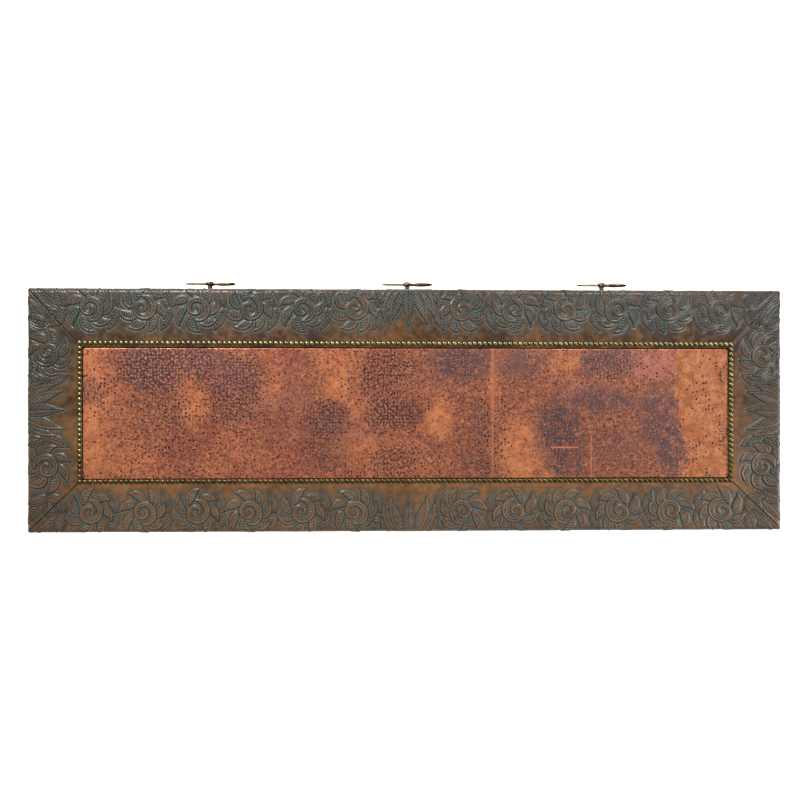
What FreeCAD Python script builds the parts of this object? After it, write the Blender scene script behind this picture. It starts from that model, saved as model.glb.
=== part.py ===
"""Console table with a leather-clad top, a copper panel and three drawers.

Millimetres. The origin is on the floor, at the middle of the table; +Z is up, +X is to the right
of someone who faces the table, and the drawers open towards -Y.

The top is a plywood board that carries four mitred rails and, between them, a core board under a
shallow copper pan.  Each rail is wrapped in one strip of leather.  A row of dome nails follows the
inner edge of the leather.  The frame below is joined with tenons, and each drawer runs on wooden
runners below kicker strips, up to a turn button that meets a stop block.
"""

import FreeCAD
import Part
import os

import Sketcher

doc = FreeCAD.newDocument("console_table")
sheet = doc.addObject("Spreadsheet::Sheet", "dims")


# ---------------------------------------------------------------- sizes

class Size:
    """A length that carries its number and the sheet expression that gives it."""

    def __init__(self, number, text):
        self.number = number
        self.text = text

    def __add__(self, other):
        return Size(self.number + number_of(other), f"({self.text} + {text_of(other)})")

    def __sub__(self, other):
        return Size(self.number - number_of(other), f"({self.text} - {text_of(other)})")

    def __mul__(self, factor):
        return Size(self.number * number_of(factor), f"({self.text} * {text_of(factor)})")

    def __truediv__(self, factor):
        return Size(self.number / number_of(factor), f"({self.text} / {text_of(factor)})")

    def __neg__(self):
        return self * -1

    __radd__ = __add__
    __rmul__ = __mul__


def number_of(value):
    return value.number if isinstance(value, Size) else value


def text_of(value):
    return value.text if isinstance(value, Size) else repr(value)


cell_row = 0


def cell(alias, number, note):
    """Writes one driving dimension into the sheet and returns it as a Size."""
    global cell_row
    cell_row += 1
    sheet.set(f"A{cell_row}", alias)
    sheet.set(f"B{cell_row}", str(number))
    sheet.set(f"C{cell_row}", note)
    sheet.setAlias(f"B{cell_row}", alias)
    return Size(float(number), f"dims.{alias}")


ZERO = Size(0.0, "0")

# Overall
top_length = cell("top_length", 1676, "top, left to right")
top_depth = cell("top_depth", 540, "top, front to back")
table_height = cell("table_height", 864, "floor to leather")
top_thickness = cell("top_thickness", 48, "whole slab at its edge")

# Leather-clad frame of the top
hide = cell("hide", 1.8, "leather thickness")
front_border = cell("front_border", 131.3, "front edge to the recess for the copper")
side_border = cell("side_border", 121, "left or right edge to the recess")
back_border = cell("back_border", 117.6, "back edge to the recess")
edge_radius = cell("edge_radius", 12, "round of the leather at the upper outer edge")
lower_radius = cell("lower_radius", 3, "round of the leather at the lower outer edge")
hem = cell("hem", 8, "leather turned under the slab")
board_thickness = cell("board_thickness", 18, "plywood board under rails and copper")
mitre_gap = cell("mitre_gap", 0.3, "seam between two strips of leather")

# Copper panel
copper_gap = cell("copper_gap", 1.2, "dark gap between leather and copper")
copper_drop = cell("copper_drop", 2, "copper face below the leather face")
copper_sheet = cell("copper_sheet", 0.8, "sheet thickness")
copper_skirt = cell("copper_skirt", 20, "depth of the folded edge")
copper_corner = cell("copper_corner", 6, "corner radius in plan")
copper_edge = cell("copper_edge", 2.4, "radius of the folded edge")

# Dome nails
nail_radius = cell("nail_radius", 5.55, "head radius")
nail_rise = cell("nail_rise", 3.2, "head height")
nail_pitch = cell("nail_pitch", 11.3, "wanted spacing, rounded to fit each row")
nail_line = cell("nail_line", 3.8, "nail centre to the inner edge of the leather, sides and back")
front_nail_line = cell("front_nail_line", 9.3, "the same along the front, where it is wider")
shank_radius = cell("shank_radius", 0.8, "nail shank radius")
shank_length = cell("shank_length", 12, "nail shank below the head")
drawer_nail_line = cell("drawer_nail_line", 7.4, "nail centre to the edge of a drawer front")

# Legs and frame
side_overhang = cell("side_overhang", 38, "top past the legs at each end")
front_overhang = cell("front_overhang", 10, "top past the legs, front and back")
leg_width = cell("leg_width", 95, "square leg at the frame")
leg_foot = cell("leg_foot", 64, "square leg at the floor")
leg_chamfer = cell("leg_chamfer", 3, "broken corners of the legs")
glide_height = cell("glide_height", 4, "leg end above the floor")
glide_radius = cell("glide_radius", 16, "round glide under each leg")
glide_pin_radius = cell("glide_pin_radius", 2, "nail of a glide")
glide_pin_length = cell("glide_pin_length", 16, "nail of a glide, in the leg")
leg_drop = cell("leg_drop", 12, "straight part of a leg below the frame")
upper_rail_height = cell("upper_rail_height", 22, "rail above the drawers")
lower_rail_height = cell("lower_rail_height", 26, "rail below the drawers")
rail_depth = cell("rail_depth", 45, "front rails, front to back")
opening_height = cell("opening_height", 120, "drawer opening")
divider_width = cell("divider_width", 28, "upright between two drawers")
apron_thickness = cell("apron_thickness", 22, "side and back aprons")
apron_setback = cell("apron_setback", 6, "apron face behind the leg face")
tenon_length = cell("tenon_length", 28, "tenon in a leg")
tenon_thickness = cell("tenon_thickness", 10, "tenon in a leg")
tenon_shoulder = cell("tenon_shoulder", 6, "step above and below a tenon")
glue_gap = cell("glue_gap", 0.1, "room for glue round a tenon or tail")

# Runners, kickers and stops
runner_overlap = cell("runner_overlap", 20, "runner under a drawer side")
runner_thickness = cell("runner_thickness", 20, "runner board")
guide_height = cell("guide_height", 18, "upstand that keeps a drawer in line")
guide_width = cell("guide_width", 22, "upstand beside an outer drawer")
stop_width = cell("stop_width", 60, "stop block, left to right")
stop_depth = cell("stop_depth", 18, "stop block, front to back")
stop_lap = cell("stop_lap", 6, "turn button reaches this far up the stop block")
stop_setback = cell("stop_setback", 27.2, "stop block behind the front rails")

# Drawers
drawer_gap = cell("drawer_gap", 1.5, "gap round a drawer front")
slide_gap = cell("slide_gap", 0.5, "drawer side above its runner")
kicker_gap = cell("kicker_gap", 3, "drawer side below its kicker")
front_thickness = cell("front_thickness", 18, "wooden drawer front")
side_thickness = cell("side_thickness", 12, "drawer sides")
back_thickness = cell("back_thickness", 12, "drawer back")
back_drop = cell("back_drop", 12, "drawer back below the sides")
bottom_thickness = cell("bottom_thickness", 6, "plywood drawer bottom")
bottom_rise = cell("bottom_rise", 8, "bottom above the lower edge of the sides")
groove_depth = cell("groove_depth", 5, "groove for the bottom")
drawer_rear_gap = cell("drawer_rear_gap", 72, "end of the drawer sides to the back apron")
back_inset = cell("back_inset", 10, "drawer back before the end of the sides")
tail_length = cell("tail_length", 13, "dovetail in the drawer front")
tail_root = cell("tail_root", 18, "dovetail at its shoulder")
tail_tip = cell("tail_tip", 23, "dovetail at its end")
TAILS = 3

# Turn button
button_length = cell("button_length", 48, "turn button")
button_width = cell("button_width", 18, "turn button")
button_thickness = cell("button_thickness", 7, "turn button")
button_tail = cell("button_tail", 10, "pivot to the lower end")
button_gap = cell("button_gap", 0.4, "turn button to the drawer back and screw head")
pivot_radius = cell("pivot_radius", 2, "shank of the pivot screw")
pivot_clearance = cell("pivot_clearance", 0.08, "running clearance on the pivot screw")
pivot_head_radius = cell("pivot_head_radius", 4, "head of the pivot screw")
screw_head_height = cell("screw_head_height", 2.6, "heads of the pivot and pull screws")

# Pull
pull_projection = cell("pull_projection", 45, "bar centre in front of the leather")
pull_half = cell("pull_half", 62.5, "half the length of the bar")
pull_wide = cell("pull_wide", 9, "flat bar, wide way")
pull_thin = cell("pull_thin", 4, "flat bar, thin way")
pull_tip = cell("pull_tip", 5, "tip of the bar")
boss_radius = cell("boss_radius", 7, "boss at the middle of the bar")
post_radius = cell("post_radius", 5, "post of the pull")
rose_radius = cell("rose_radius", 12, "foot of the post")
rose_thickness = cell("rose_thickness", 3, "foot of the post")
pull_screw_radius = cell("pull_screw_radius", 2, "machine screw")
pull_screw_reach = cell("pull_screw_reach", 14, "screw in the post")
pull_head_radius = cell("pull_head_radius", 4.5, "head of the machine screw")
thread_gap = cell("thread_gap", 0.05, "screw in its hole")

# Screws that hold the top
top_screw_radius = cell("top_screw_radius", 2, "wood screw")
top_screw_head = cell("top_screw_head", 4, "head radius of a wood screw")
top_screw_reach = cell("top_screw_reach", 12, "wood screw in the plywood")
top_screw_inset = cell("top_screw_inset", 60, "screw from the end of a kicker")

MARGIN = 5.0  # how far a cutting tool stands past what it cuts

# Levels and planes that several pieces share
half_length = top_length / 2
half_depth = top_depth / 2
board_bottom = table_height - top_thickness
board_top = board_bottom + board_thickness
hide_face = table_height
leg_outer_x = half_length - side_overhang
leg_inner_x = leg_outer_x - leg_width
leg_outer_y = half_depth - front_overhang
leg_inner_y = leg_outer_y - leg_width
opening_top = board_bottom - upper_rail_height
opening_bottom = opening_top - opening_height
frame_bottom = opening_bottom - lower_rail_height
front_face = -leg_outer_y
rail_back = front_face + rail_depth
apron_back_face = leg_outer_y - apron_setback
apron_inner_y = apron_back_face - apron_thickness
apron_outer_x = leg_outer_x - apron_setback
apron_inner_x = apron_outer_x - apron_thickness
opening_width = (leg_inner_x * 2 - divider_width * 2) / 3
drawer_step = opening_width + divider_width

doc.recompute()


# ---------------------------------------------------------------- builders

nodes = []


def keep(item, label):
    """Marks an object as a finished sub-part and gives it its name."""
    item.Label = label
    nodes.append(item)
    return item


def bind(item, sizes):
    """Ties properties of an object to sheet expressions."""
    for path, size in sizes.items():
        item.setExpression(path, text_of(size))


def place(item, x, y, z):
    bind(item, {"Placement.Base.x": x, "Placement.Base.y": y, "Placement.Base.z": z})


def block(x, y, z):
    """A box between three pairs of Sizes."""
    box = doc.addObject("Part::Box", "Block")
    bind(box, {"Length": x[1] - x[0], "Width": y[1] - y[0], "Height": z[1] - z[0]})
    place(box, x[0], y[0], z[0])
    return box


TO_FRONT = FreeCAD.Rotation(FreeCAD.Vector(1, 0, 0), 90)
UPRIGHT = FreeCAD.Rotation()
SEAM_TO_FRONT = FreeCAD.Rotation(FreeCAD.Vector(0, 0, 1), -90)  # keeps a ball's seam clear of the bar


def rod(radius, length, x, y, z, turn=UPRIGHT):
    """A cylinder that starts at a point and runs up, or to the front with TO_FRONT."""
    cylinder = doc.addObject("Part::Cylinder", "Rod")
    cylinder.Placement = FreeCAD.Placement(FreeCAD.Vector(), turn)
    bind(cylinder, {"Radius": radius, "Height": length})
    place(cylinder, x, y, z)
    return cylinder


def fuse(pieces):
    joined = doc.addObject("Part::MultiFuse", "Joined")
    joined.Shapes = pieces
    joined.Refine = True
    return joined


def cut(base, tools):
    """Takes one tool or several away from a piece."""
    result = doc.addObject("Part::Cut", "Trimmed")
    result.Base = base
    result.Tool = tools[0] if len(tools) == 1 else fuse(tools)
    result.Refine = True
    return result


def new_body():
    return doc.addObject("PartDesign::Body", "Body")


def polygon_sketch(body, role, loops, offset=ZERO):
    """A sketch of closed polygons on one of the body's planes; each corner is a pair of Sizes."""
    plane = [item for item in body.Origin.OriginFeatures if item.Role == role][0]
    sketch = body.newObject("Sketcher::SketchObject", "Outline")
    sketch.AttachmentSupport = (plane, [""])
    sketch.MapMode = "FlatFace"
    sketch.setExpression("AttachmentOffset.Base.z", text_of(offset))
    for corners in loops:
        first = sketch.GeometryCount
        points = [FreeCAD.Vector(number_of(u), number_of(v), 0) for u, v in corners]
        for start, end in zip(points, points[1:] + points[:1]):
            sketch.addGeometry(Part.LineSegment(start, end), False)
        last = sketch.GeometryCount - 1
        for line in range(first, last + 1):
            following = first if line == last else line + 1
            sketch.addConstraint(Sketcher.Constraint("Coincident", line, 2, following, 1))
        for line, (u, v) in zip(range(first, last + 1), corners):
            for kind, size in (("DistanceX", u), ("DistanceY", v)):
                rule = Sketcher.Constraint(kind, -1, 1, line, 1, number_of(size))
                index = sketch.addConstraint(rule)
                sketch.setExpression(f"Constraints[{index}]", text_of(size))
    return sketch


def pad(body, sketch, length, backwards=False):
    feature = body.newObject("PartDesign::Pad", "Pad")
    feature.Profile = sketch
    feature.Reversed = backwards
    bind(feature, {"Length": length})
    return feature


def pocket(body, sketch, length, backwards=False):
    feature = body.newObject("PartDesign::Pocket", "Pocket")
    feature.Profile = sketch
    feature.Reversed = backwards
    bind(feature, {"Length": length})
    return feature


def round_edges(body, radius, chosen):
    """Rounds the edges of a body's last feature that chosen() accepts."""
    doc.recompute()
    base = body.Tip
    names = [f"Edge{n + 1}" for n, edge in enumerate(base.Shape.Edges) if chosen(edge)]
    if not names:
        raise RuntimeError(f"no edge to round on {body.Name}")
    feature = body.newObject("PartDesign::Fillet", "Fillet")
    feature.Base = (base, names)
    bind(feature, {"Radius": radius})
    return feature


def near(value, target):
    return abs(value - number_of(target)) < 1e-4


def runs_at(y, z):
    """Chooses edges that run along X at one Y and Z."""
    def chosen(edge):
        return all(near(v.Y, y) and near(v.Z, z) for v in edge.Vertexes) and edge.Length > MARGIN
    return chosen


def copies(shape, placements):
    """One shape of separate solids, a copy of a shape at each placement."""
    made = []
    for placement in placements:
        one = shape.copy()
        one.Placement = placement.multiply(one.Placement)
        made.append(one)
    return Part.makeCompound(made)


def group(label, shape, placements):
    feature = doc.addObject("Part::Feature", "Group")
    feature.Shape = copies(shape, placements)
    return keep(feature, label)


def at(x, y, z, turn=UPRIGHT):
    """A placement from Sizes or numbers."""
    where = FreeCAD.Vector(number_of(x), number_of(y), number_of(z))
    return FreeCAD.Placement(where, turn)


# ---------------------------------------------------------------- the top

# Each side of the frame is drawn in a frame of its own: X along the strip, Y inwards from the outer
# edge, Z up from the underside of the slab.  A turn about Z and a move put it at its side.  The last
# three sizes are its own width and those of the strips that it meets at its low and high X.
SIDES = {
    "front": (0, top_length, ZERO, -half_depth, front_border, side_border, side_border),
    "right": (90, top_depth, half_length, ZERO, side_border, front_border, back_border),
    "back": (180, top_length, ZERO, half_depth, back_border, side_border, side_border),
    "left": (270, top_depth, -half_length, ZERO, side_border, back_border, front_border),
}


def put_at_side(body, side):
    angle, _, x, y = SIDES[side][:4]
    body.Placement = FreeCAD.Placement(FreeCAD.Vector(), FreeCAD.Rotation(angle, 0, 0))
    place(body, x, y, board_bottom)


def mitre(body, side, gap):
    """Cuts both ends of a strip along the lines to the inner corners, less half the seam."""
    _, length, _, _, width, low_neighbour, high_neighbour = SIDES[side]
    end = length / 2 - gap / 2
    reach = width + MARGIN
    loops = []
    for sign, neighbour in ((1, high_neighbour), (-1, low_neighbour)):
        slope = neighbour / width
        outer = (end + slope * MARGIN) * sign
        loops.append([(outer, ZERO - MARGIN), (outer, reach), ((end - slope * reach) * sign, reach)])
    sketch = polygon_sketch(body, "XY_Plane", loops, ZERO - MARGIN)
    pocket(body, sketch, top_thickness + 2 * MARGIN, backwards=True)


def leather_strip(side):
    """A strip of leather: turned under the slab, up the edge, across the rail and into the recess."""
    length, width = SIDES[side][1], SIDES[side][4]
    body = new_body()
    thick, height = hide, top_thickness
    section = [
        (hem, ZERO), (ZERO, ZERO), (ZERO, height), (width, height), (width, board_thickness),
        (width - thick, board_thickness), (width - thick, height - thick),
        (thick, height - thick), (thick, thick), (hem, thick),
    ]
    sketch = polygon_sketch(body, "YZ_Plane", [section], -length / 2)
    pad(body, sketch, length)
    round_edges(body, edge_radius, runs_at(ZERO, height))
    round_edges(body, edge_radius - thick, runs_at(thick, height - thick))
    round_edges(body, lower_radius, runs_at(ZERO, ZERO))
    round_edges(body, thick, runs_at(width, height))
    mitre(body, side, mitre_gap)
    put_at_side(body, side)
    return keep(body, f"leather_{side}")


def frame_rail(side):
    """A mitred wooden rail, rounded at its outer upper edge to carry the leather."""
    length, width = SIDES[side][1], SIDES[side][4]
    body = new_body()
    low, high = hide, width - hide
    top = top_thickness - hide
    section = [(low, board_thickness), (high, board_thickness), (high, top), (low, top)]
    sketch = polygon_sketch(body, "YZ_Plane", [section], -length / 2)
    pad(body, sketch, length)
    round_edges(body, edge_radius - hide, runs_at(low, top))
    mitre(body, side, mitre_gap)
    put_at_side(body, side)
    return keep(body, f"frame_rail_{side}")


def top_board():
    """Plywood board with a rebate all round for the hem of the leather."""
    reach_x, reach_y = half_length - hide, half_depth - hide
    inner_x, inner_y = half_length - hem - glue_gap, half_depth - hem - glue_gap
    upper = block((-reach_x, reach_x), (-reach_y, reach_y), (board_bottom + hide, board_top))
    lower = block((-inner_x, inner_x), (-inner_y, inner_y), (board_bottom, board_bottom + hide))
    return keep(fuse([upper, lower]), "top_board")


def vertical(edge):
    ends = edge.Vertexes
    return len(ends) == 2 and abs(ends[0].Z - ends[1].Z) > 1 and near(ends[0].X, ends[1].X) \
        and near(ends[0].Y, ends[1].Y)


def at_level(level):
    def chosen(edge):
        return all(near(v.Z, level) for v in edge.Vertexes)
    return chosen


def recess_outline(inset):
    """The rectangle inside the leather border, drawn in by an inset on all four sides."""
    reach = half_length - side_border - inset
    low, high = -half_depth + front_border + inset, half_depth - back_border - inset
    return [(-reach, low), (reach, low), (reach, high), (-reach, high)]


def copper_core():
    """Core board that fills the copper pan and stands on the plywood."""
    body = new_body()
    sketch = polygon_sketch(body, "XY_Plane", [recess_outline(copper_gap + copper_sheet)], board_top)
    top = hide_face - copper_drop - copper_sheet
    pad(body, sketch, top - board_top)
    round_edges(body, copper_corner - copper_sheet, vertical)
    round_edges(body, copper_edge - copper_sheet, at_level(top))
    return keep(body, "copper_core")


def copper_panel():
    """Shallow copper pan: a flat sheet with its edges folded down over the core."""
    top = hide_face - copper_drop
    body = new_body()
    sketch = polygon_sketch(body, "XY_Plane", [recess_outline(copper_gap)], top - copper_skirt)
    pad(body, sketch, copper_skirt)
    round_edges(body, copper_corner, vertical)
    round_edges(body, copper_edge, at_level(top))
    hollow = new_body()
    low = top - copper_skirt - MARGIN
    sketch = polygon_sketch(hollow, "XY_Plane", [recess_outline(copper_gap + copper_sheet)], low)
    pad(hollow, sketch, top - copper_sheet - low)
    round_edges(hollow, copper_corner - copper_sheet, vertical)
    round_edges(hollow, copper_edge - copper_sheet, at_level(top - copper_sheet))
    return keep(cut(body, [hollow]), "copper_panel")


def dome_nail():
    """A nail with a domed head; the underside of the head is at z = 0 and the shank points down."""
    ball = f"(({nail_radius.text}^2 + {nail_rise.text}^2) / (2 * {nail_rise.text}))"
    head = doc.addObject("Part::Sphere", "NailHead")
    head.setExpression("Radius", ball)
    head.setExpression("Angle1", f"asin(({ball} - {nail_rise.text}) / {ball})")
    head.setExpression("Placement.Base.z", f"{nail_rise.text} - {ball}")
    shank = rod(shank_radius, shank_length, ZERO, ZERO, -shank_length)
    return fuse([head, shank])


def row(start, end, pitch):
    """Evenly spaced numbers from start up to, but not with, end."""
    steps = max(1, round(abs(end - start) / pitch))
    return [start + (end - start) * n / steps for n in range(steps)]


def ring(reach_x, reach_z, pitch):
    """Points round a rectangle centred on nothing, corner nails included."""
    across = row(-reach_x, reach_x, pitch)
    along = row(-reach_z, reach_z, pitch)
    return (
        [(u, -reach_z) for u in across] + [(reach_x, v) for v in along]
        + [(-u, reach_z) for u in across] + [(-reach_x, -v) for v in along]
    )


def top_nails(nail):
    corners = recess_outline(-nail_line)
    reach_x, high = number_of(corners[2][0]), number_of(corners[2][1])
    low = number_of(-half_depth + front_border - front_nail_line)
    points = ring(reach_x, (high - low) / 2, number_of(nail_pitch))
    middle = (low + high) / 2
    group("top_nails", nail.Shape, [at(x, middle + y, hide_face) for x, y in points])


# ---------------------------------------------------------------- the frame

ENDS = {"left": -1, "right": 1}
FACES = {"front": -1, "back": 1}


def span(a, b):
    """A pair of Sizes in rising order."""
    return (a, b) if number_of(a) < number_of(b) else (b, a)


def tenon_blocks(gap):
    """Where every tenon sits, as the three spans of a box grown by a gap, by piece and leg."""
    found = {}
    deep = tenon_length + gap
    half_thick = tenon_thickness / 2 + gap
    for end, sx in ENDS.items():
        reach = span(leg_inner_x * sx, (leg_inner_x + deep) * sx)
        middle = (apron_back_face + apron_inner_y) / 2
        tall = (frame_bottom + tenon_shoulder - gap, board_bottom - tenon_shoulder + gap)
        found["apron_back", "back", end] = (reach, (middle - half_thick, middle + half_thick), tall)
        middle = (front_face + rail_back) / 2
        wide = (middle - rail_depth / 4 - gap, middle + rail_depth / 4 + gap)
        for name, low, high in (("upper_rail", opening_top, board_bottom),
                                ("lower_rail", frame_bottom, opening_bottom)):
            tall = (low + tenon_shoulder - gap, high - tenon_shoulder + gap)
            found[name, "front", end] = (reach, wide, tall)
        middle = (apron_outer_x + apron_inner_x) / 2 * sx
        thick = (middle - half_thick, middle + half_thick)
        tall = (frame_bottom + tenon_shoulder - gap, board_bottom - tenon_shoulder + gap)
        for face, sy in FACES.items():
            reach_y = span(leg_inner_y * sy, (leg_inner_y + deep) * sy)
            found[f"apron_{end}", face, end] = (thick, reach_y, tall)
    return found


def with_tenons(name, body):
    tongues = [block(*spans) for key, spans in tenon_blocks(ZERO).items() if key[0] == name]
    return keep(fuse([body] + tongues), name)


def leg(face, end):
    """A square leg: straight beside the frame, then tapered to its foot, with its mortises."""
    sx, sy = ENDS[end], FACES[face]
    middle_x = (leg_outer_x + leg_inner_x) / 2 * sx
    middle_y = (leg_outer_y + leg_inner_y) / 2 * sy

    def square(width):
        """A square with its corners cut off, as eight points."""
        far = width / 2
        near_corner = far - leg_chamfer
        turns = [(near_corner, -far), (far, -near_corner), (far, near_corner), (near_corner, far),
                 (-near_corner, far), (-far, near_corner), (-far, -near_corner), (-near_corner, -far)]
        return [(middle_x + u, middle_y + v) for u, v in turns]

    body = new_body()
    shoulder = frame_bottom - leg_drop
    straight = polygon_sketch(body, "XY_Plane", [square(leg_width)], shoulder)
    pad(body, straight, board_bottom - shoulder)
    upper = polygon_sketch(body, "XY_Plane", [square(leg_width)], shoulder)
    foot = polygon_sketch(body, "XY_Plane", [square(leg_foot)], glide_height)
    taper = body.newObject("PartDesign::AdditiveLoft", "Taper")
    taper.Profile = upper
    taper.Sections = [foot]
    taper.Ruled = True
    mortises = [block(*spans) for key, spans in tenon_blocks(glue_gap).items()
                if key[1:] == (face, end)]
    pin = rod(glide_pin_radius + glue_gap, glide_pin_length + glue_gap, middle_x, middle_y, glide_height)
    return keep(cut(body, mortises + [pin]), f"leg_{face}_{end}")


def glides():
    """Round plastic glides, each with the nail that holds it."""
    disc = rod(glide_radius, glide_height, ZERO, ZERO, ZERO)
    pin = rod(glide_pin_radius, glide_pin_length, ZERO, ZERO, glide_height)
    one = fuse([disc, pin])
    doc.recompute()
    middle_x = (leg_outer_x + leg_inner_x) / 2
    middle_y = (leg_outer_y + leg_inner_y) / 2
    spots = [at(middle_x * sx, middle_y * sy, ZERO) for sx in ENDS.values() for sy in FACES.values()]
    group("glides", one.Shape, spots)


def aprons_and_rails():
    tall = (frame_bottom, board_bottom)
    between = (-leg_inner_x, leg_inner_x)
    for end, sx in ENDS.items():
        thick = span(apron_inner_x * sx, apron_outer_x * sx)
        with_tenons(f"apron_{end}", block(thick, (-leg_inner_y, leg_inner_y), tall))
    with_tenons("apron_back", block(between, (apron_inner_y, apron_back_face), tall))
    deep = (front_face, rail_back)
    with_tenons("upper_rail", block(between, deep, (opening_top, board_bottom)))
    with_tenons("lower_rail", block(between, deep, (frame_bottom, opening_bottom)))


def divider_span(sign):
    middle = drawer_step / 2 * sign
    return (middle - divider_width / 2, middle + divider_width / 2)


def dividers():
    """The two uprights between the drawers."""
    one = block((-divider_width / 2, divider_width / 2), (front_face, rail_back),
                (opening_bottom, opening_top))
    doc.recompute()
    group("dividers", one.Shape, [at(drawer_step / 2 * sign, ZERO, ZERO) for sign in (-1, 1)])


def runners():
    """Runners with an upstand that guides the drawers: T-shaped between drawers, L-shaped outside."""
    deep = (rail_back, apron_inner_y)
    flat = (opening_bottom - runner_thickness, opening_bottom)
    guide = (opening_bottom, opening_bottom + guide_height)
    for end, sign in ENDS.items():
        wide = divider_span(sign)
        base = (wide[0] - runner_overlap, wide[1] + runner_overlap)
        keep(fuse([block(base, deep, flat), block(wide, deep, guide)]), f"runner_middle_{end}")
        base = span((leg_inner_x - runner_overlap) * sign, apron_inner_x * sign)
        wide = span(leg_inner_x * sign, (leg_inner_x + guide_width) * sign)
        whole = fuse([block(base, deep, flat), block(wide, deep, guide)])
        keep(cut(whole, leg_notches(sign)), f"runner_outer_{end}")


def leg_notches(sign):
    """Room for the two legs at one end, grown by the glue gap."""
    wide = span((leg_inner_x - glue_gap) * sign, (leg_outer_x + MARGIN) * sign)
    low, high = frame_bottom - MARGIN, board_bottom + MARGIN
    made = []
    for sy in FACES.values():
        deep = span((leg_inner_y - glue_gap) * sy, (leg_outer_y + MARGIN) * sy)
        made.append(block(wide, deep, (low, high)))
    return made


def kicker_spans():
    """The four strips above the drawer sides, as X spans."""
    found = []
    for sign in ENDS.values():
        wide = divider_span(sign)
        found.append((wide[0] - runner_overlap, wide[1] + runner_overlap))
        found.append(span((leg_inner_x - runner_overlap) * sign, apron_inner_x * sign))
    return found


def top_screw_spots():
    """X and Y of the wood screws that hold the top, two in each kicker."""
    spots = []
    for sign in ENDS.values():
        for middle in (drawer_step / 2 * sign, (leg_inner_x - runner_overlap / 2) * sign):
            for y in (rail_back + top_screw_inset, apron_inner_y - top_screw_inset):
                spots.append((middle, y))
    return spots


def kickers():
    deep = (rail_back, apron_inner_y)
    tall = (opening_top, board_bottom)
    strips = [block(wide, deep, tall) for wide in kicker_spans()]
    holes = [rod(top_screw_radius + thread_gap, upper_rail_height + 2 * MARGIN, x, y,
                 opening_top - MARGIN) for x, y in top_screw_spots()]
    sinks = [rod(top_screw_head + thread_gap, screw_head_height + thread_gap + MARGIN, x, y,
                 opening_top - MARGIN) for x, y in top_screw_spots()]
    whole = fuse(strips)
    trimmed = cut(whole, leg_notches(1) + leg_notches(-1) + holes + sinks)
    return keep(trimmed, "kickers")


def top_screws():
    """Wood screws through the kickers into the top board, sunk flush."""
    head = rod(top_screw_head, screw_head_height, ZERO, ZERO, ZERO)
    shank = rod(top_screw_radius, upper_rail_height + top_screw_reach, ZERO, ZERO, ZERO)
    one = fuse([head, shank])
    doc.recompute()
    group("top_screws", one.Shape, [at(x, y, opening_top) for x, y in top_screw_spots()])


# ---------------------------------------------------------------- the drawers

DRAWERS = {"left": -1, "middle": 0, "right": 1}

hide_back = front_face + hide
front_back = hide_back + front_thickness
side_bottom = opening_bottom + slide_gap
side_top = opening_top - kicker_gap
side_height = side_top - side_bottom
side_end = apron_inner_y - drawer_rear_gap
back_rear = side_end - back_inset
back_front = back_rear - back_thickness
bottom_low = side_bottom + bottom_rise
bottom_high = bottom_low + bottom_thickness
back_top = side_top - back_drop
front_low = opening_bottom + drawer_gap
front_high = opening_top - drawer_gap
pull_level = (front_low + front_high) / 2
half_front = opening_width / 2 - drawer_gap
button_back = back_front - button_gap
button_front = button_back - button_thickness
button_top = opening_top + stop_lap
pivot_level = button_top - (button_length - button_tail)
stop_front = rail_back + stop_setback


def comb(shoulder, end, low, height, gap):
    """Outline of a drawer side with dovetails, Y to the right and Z up; gap widens the tails."""
    corners = [(end, low), (shoulder, low)]
    tip = shoulder - tail_length - gap
    for n in range(TAILS):
        middle = low + height * ((n + 0.5) / TAILS)
        corners += [
            (shoulder, middle - tail_root / 2 - gap), (tip, middle - tail_tip / 2 - gap),
            (tip, middle + tail_tip / 2 + gap), (shoulder, middle + tail_root / 2 + gap),
        ]
    return corners + [(shoulder, low + height), (end, low + height)]


def comb_body(wide, end, low, height, gap):
    body = new_body()
    outline = comb(front_back, end, low, height, gap)
    sketch = polygon_sketch(body, "YZ_Plane", [outline], wide[0])
    pad(body, sketch, wide[1] - wide[0])
    return body


def side_span(centre, sign, grow=ZERO):
    outer = centre + half_front * sign
    inner = centre + (half_front - side_thickness) * sign
    return span(outer + grow * sign, inner - grow * sign)


def bottom_spans(centre, gap):
    """The drawer bottom, held in grooves of the sides and the front."""
    reach = half_front - side_thickness + groove_depth + gap
    return ((centre - reach, centre + reach), (front_back - groove_depth - gap, back_rear),
            (bottom_low - gap, bottom_high + gap))


def back_spans(centre, gap):
    """The drawer back, let into the sides."""
    reach = half_front - side_thickness + groove_depth + gap
    return ((centre - reach, centre + reach), (back_front - gap, back_rear + gap),
            (bottom_high + glue_gap, back_top))


def drawer_sides(name, centre):
    for end, sign in ENDS.items():
        blank = comb_body(side_span(centre, sign), side_end, side_bottom, side_height, ZERO)
        slot = bottom_spans(centre, glue_gap)
        groove = block(slot[0], slot[1], slot[2])
        housing_x, housing_y, _ = back_spans(centre, glue_gap)
        housing = block(housing_x, housing_y, (bottom_low, side_top + MARGIN))
        keep(cut(blank, [groove, housing]), f"drawer_{name}_side_{end}")


def drawer_front(name, centre):
    blank = block((centre - half_front, centre + half_front), (hide_back, front_back),
                  (front_low, front_high))
    tools = [comb_body(side_span(centre, sign, glue_gap), front_back + MARGIN, side_bottom,
                       side_height, glue_gap) for sign in ENDS.values()]
    tools.append(block(*bottom_spans(centre, glue_gap)))
    tools.append(rod(pull_screw_radius + thread_gap, front_thickness + 2 * MARGIN, centre,
                     front_back + MARGIN, pull_level, TO_FRONT))
    keep(cut(blank, tools), f"drawer_{name}_front")


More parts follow.
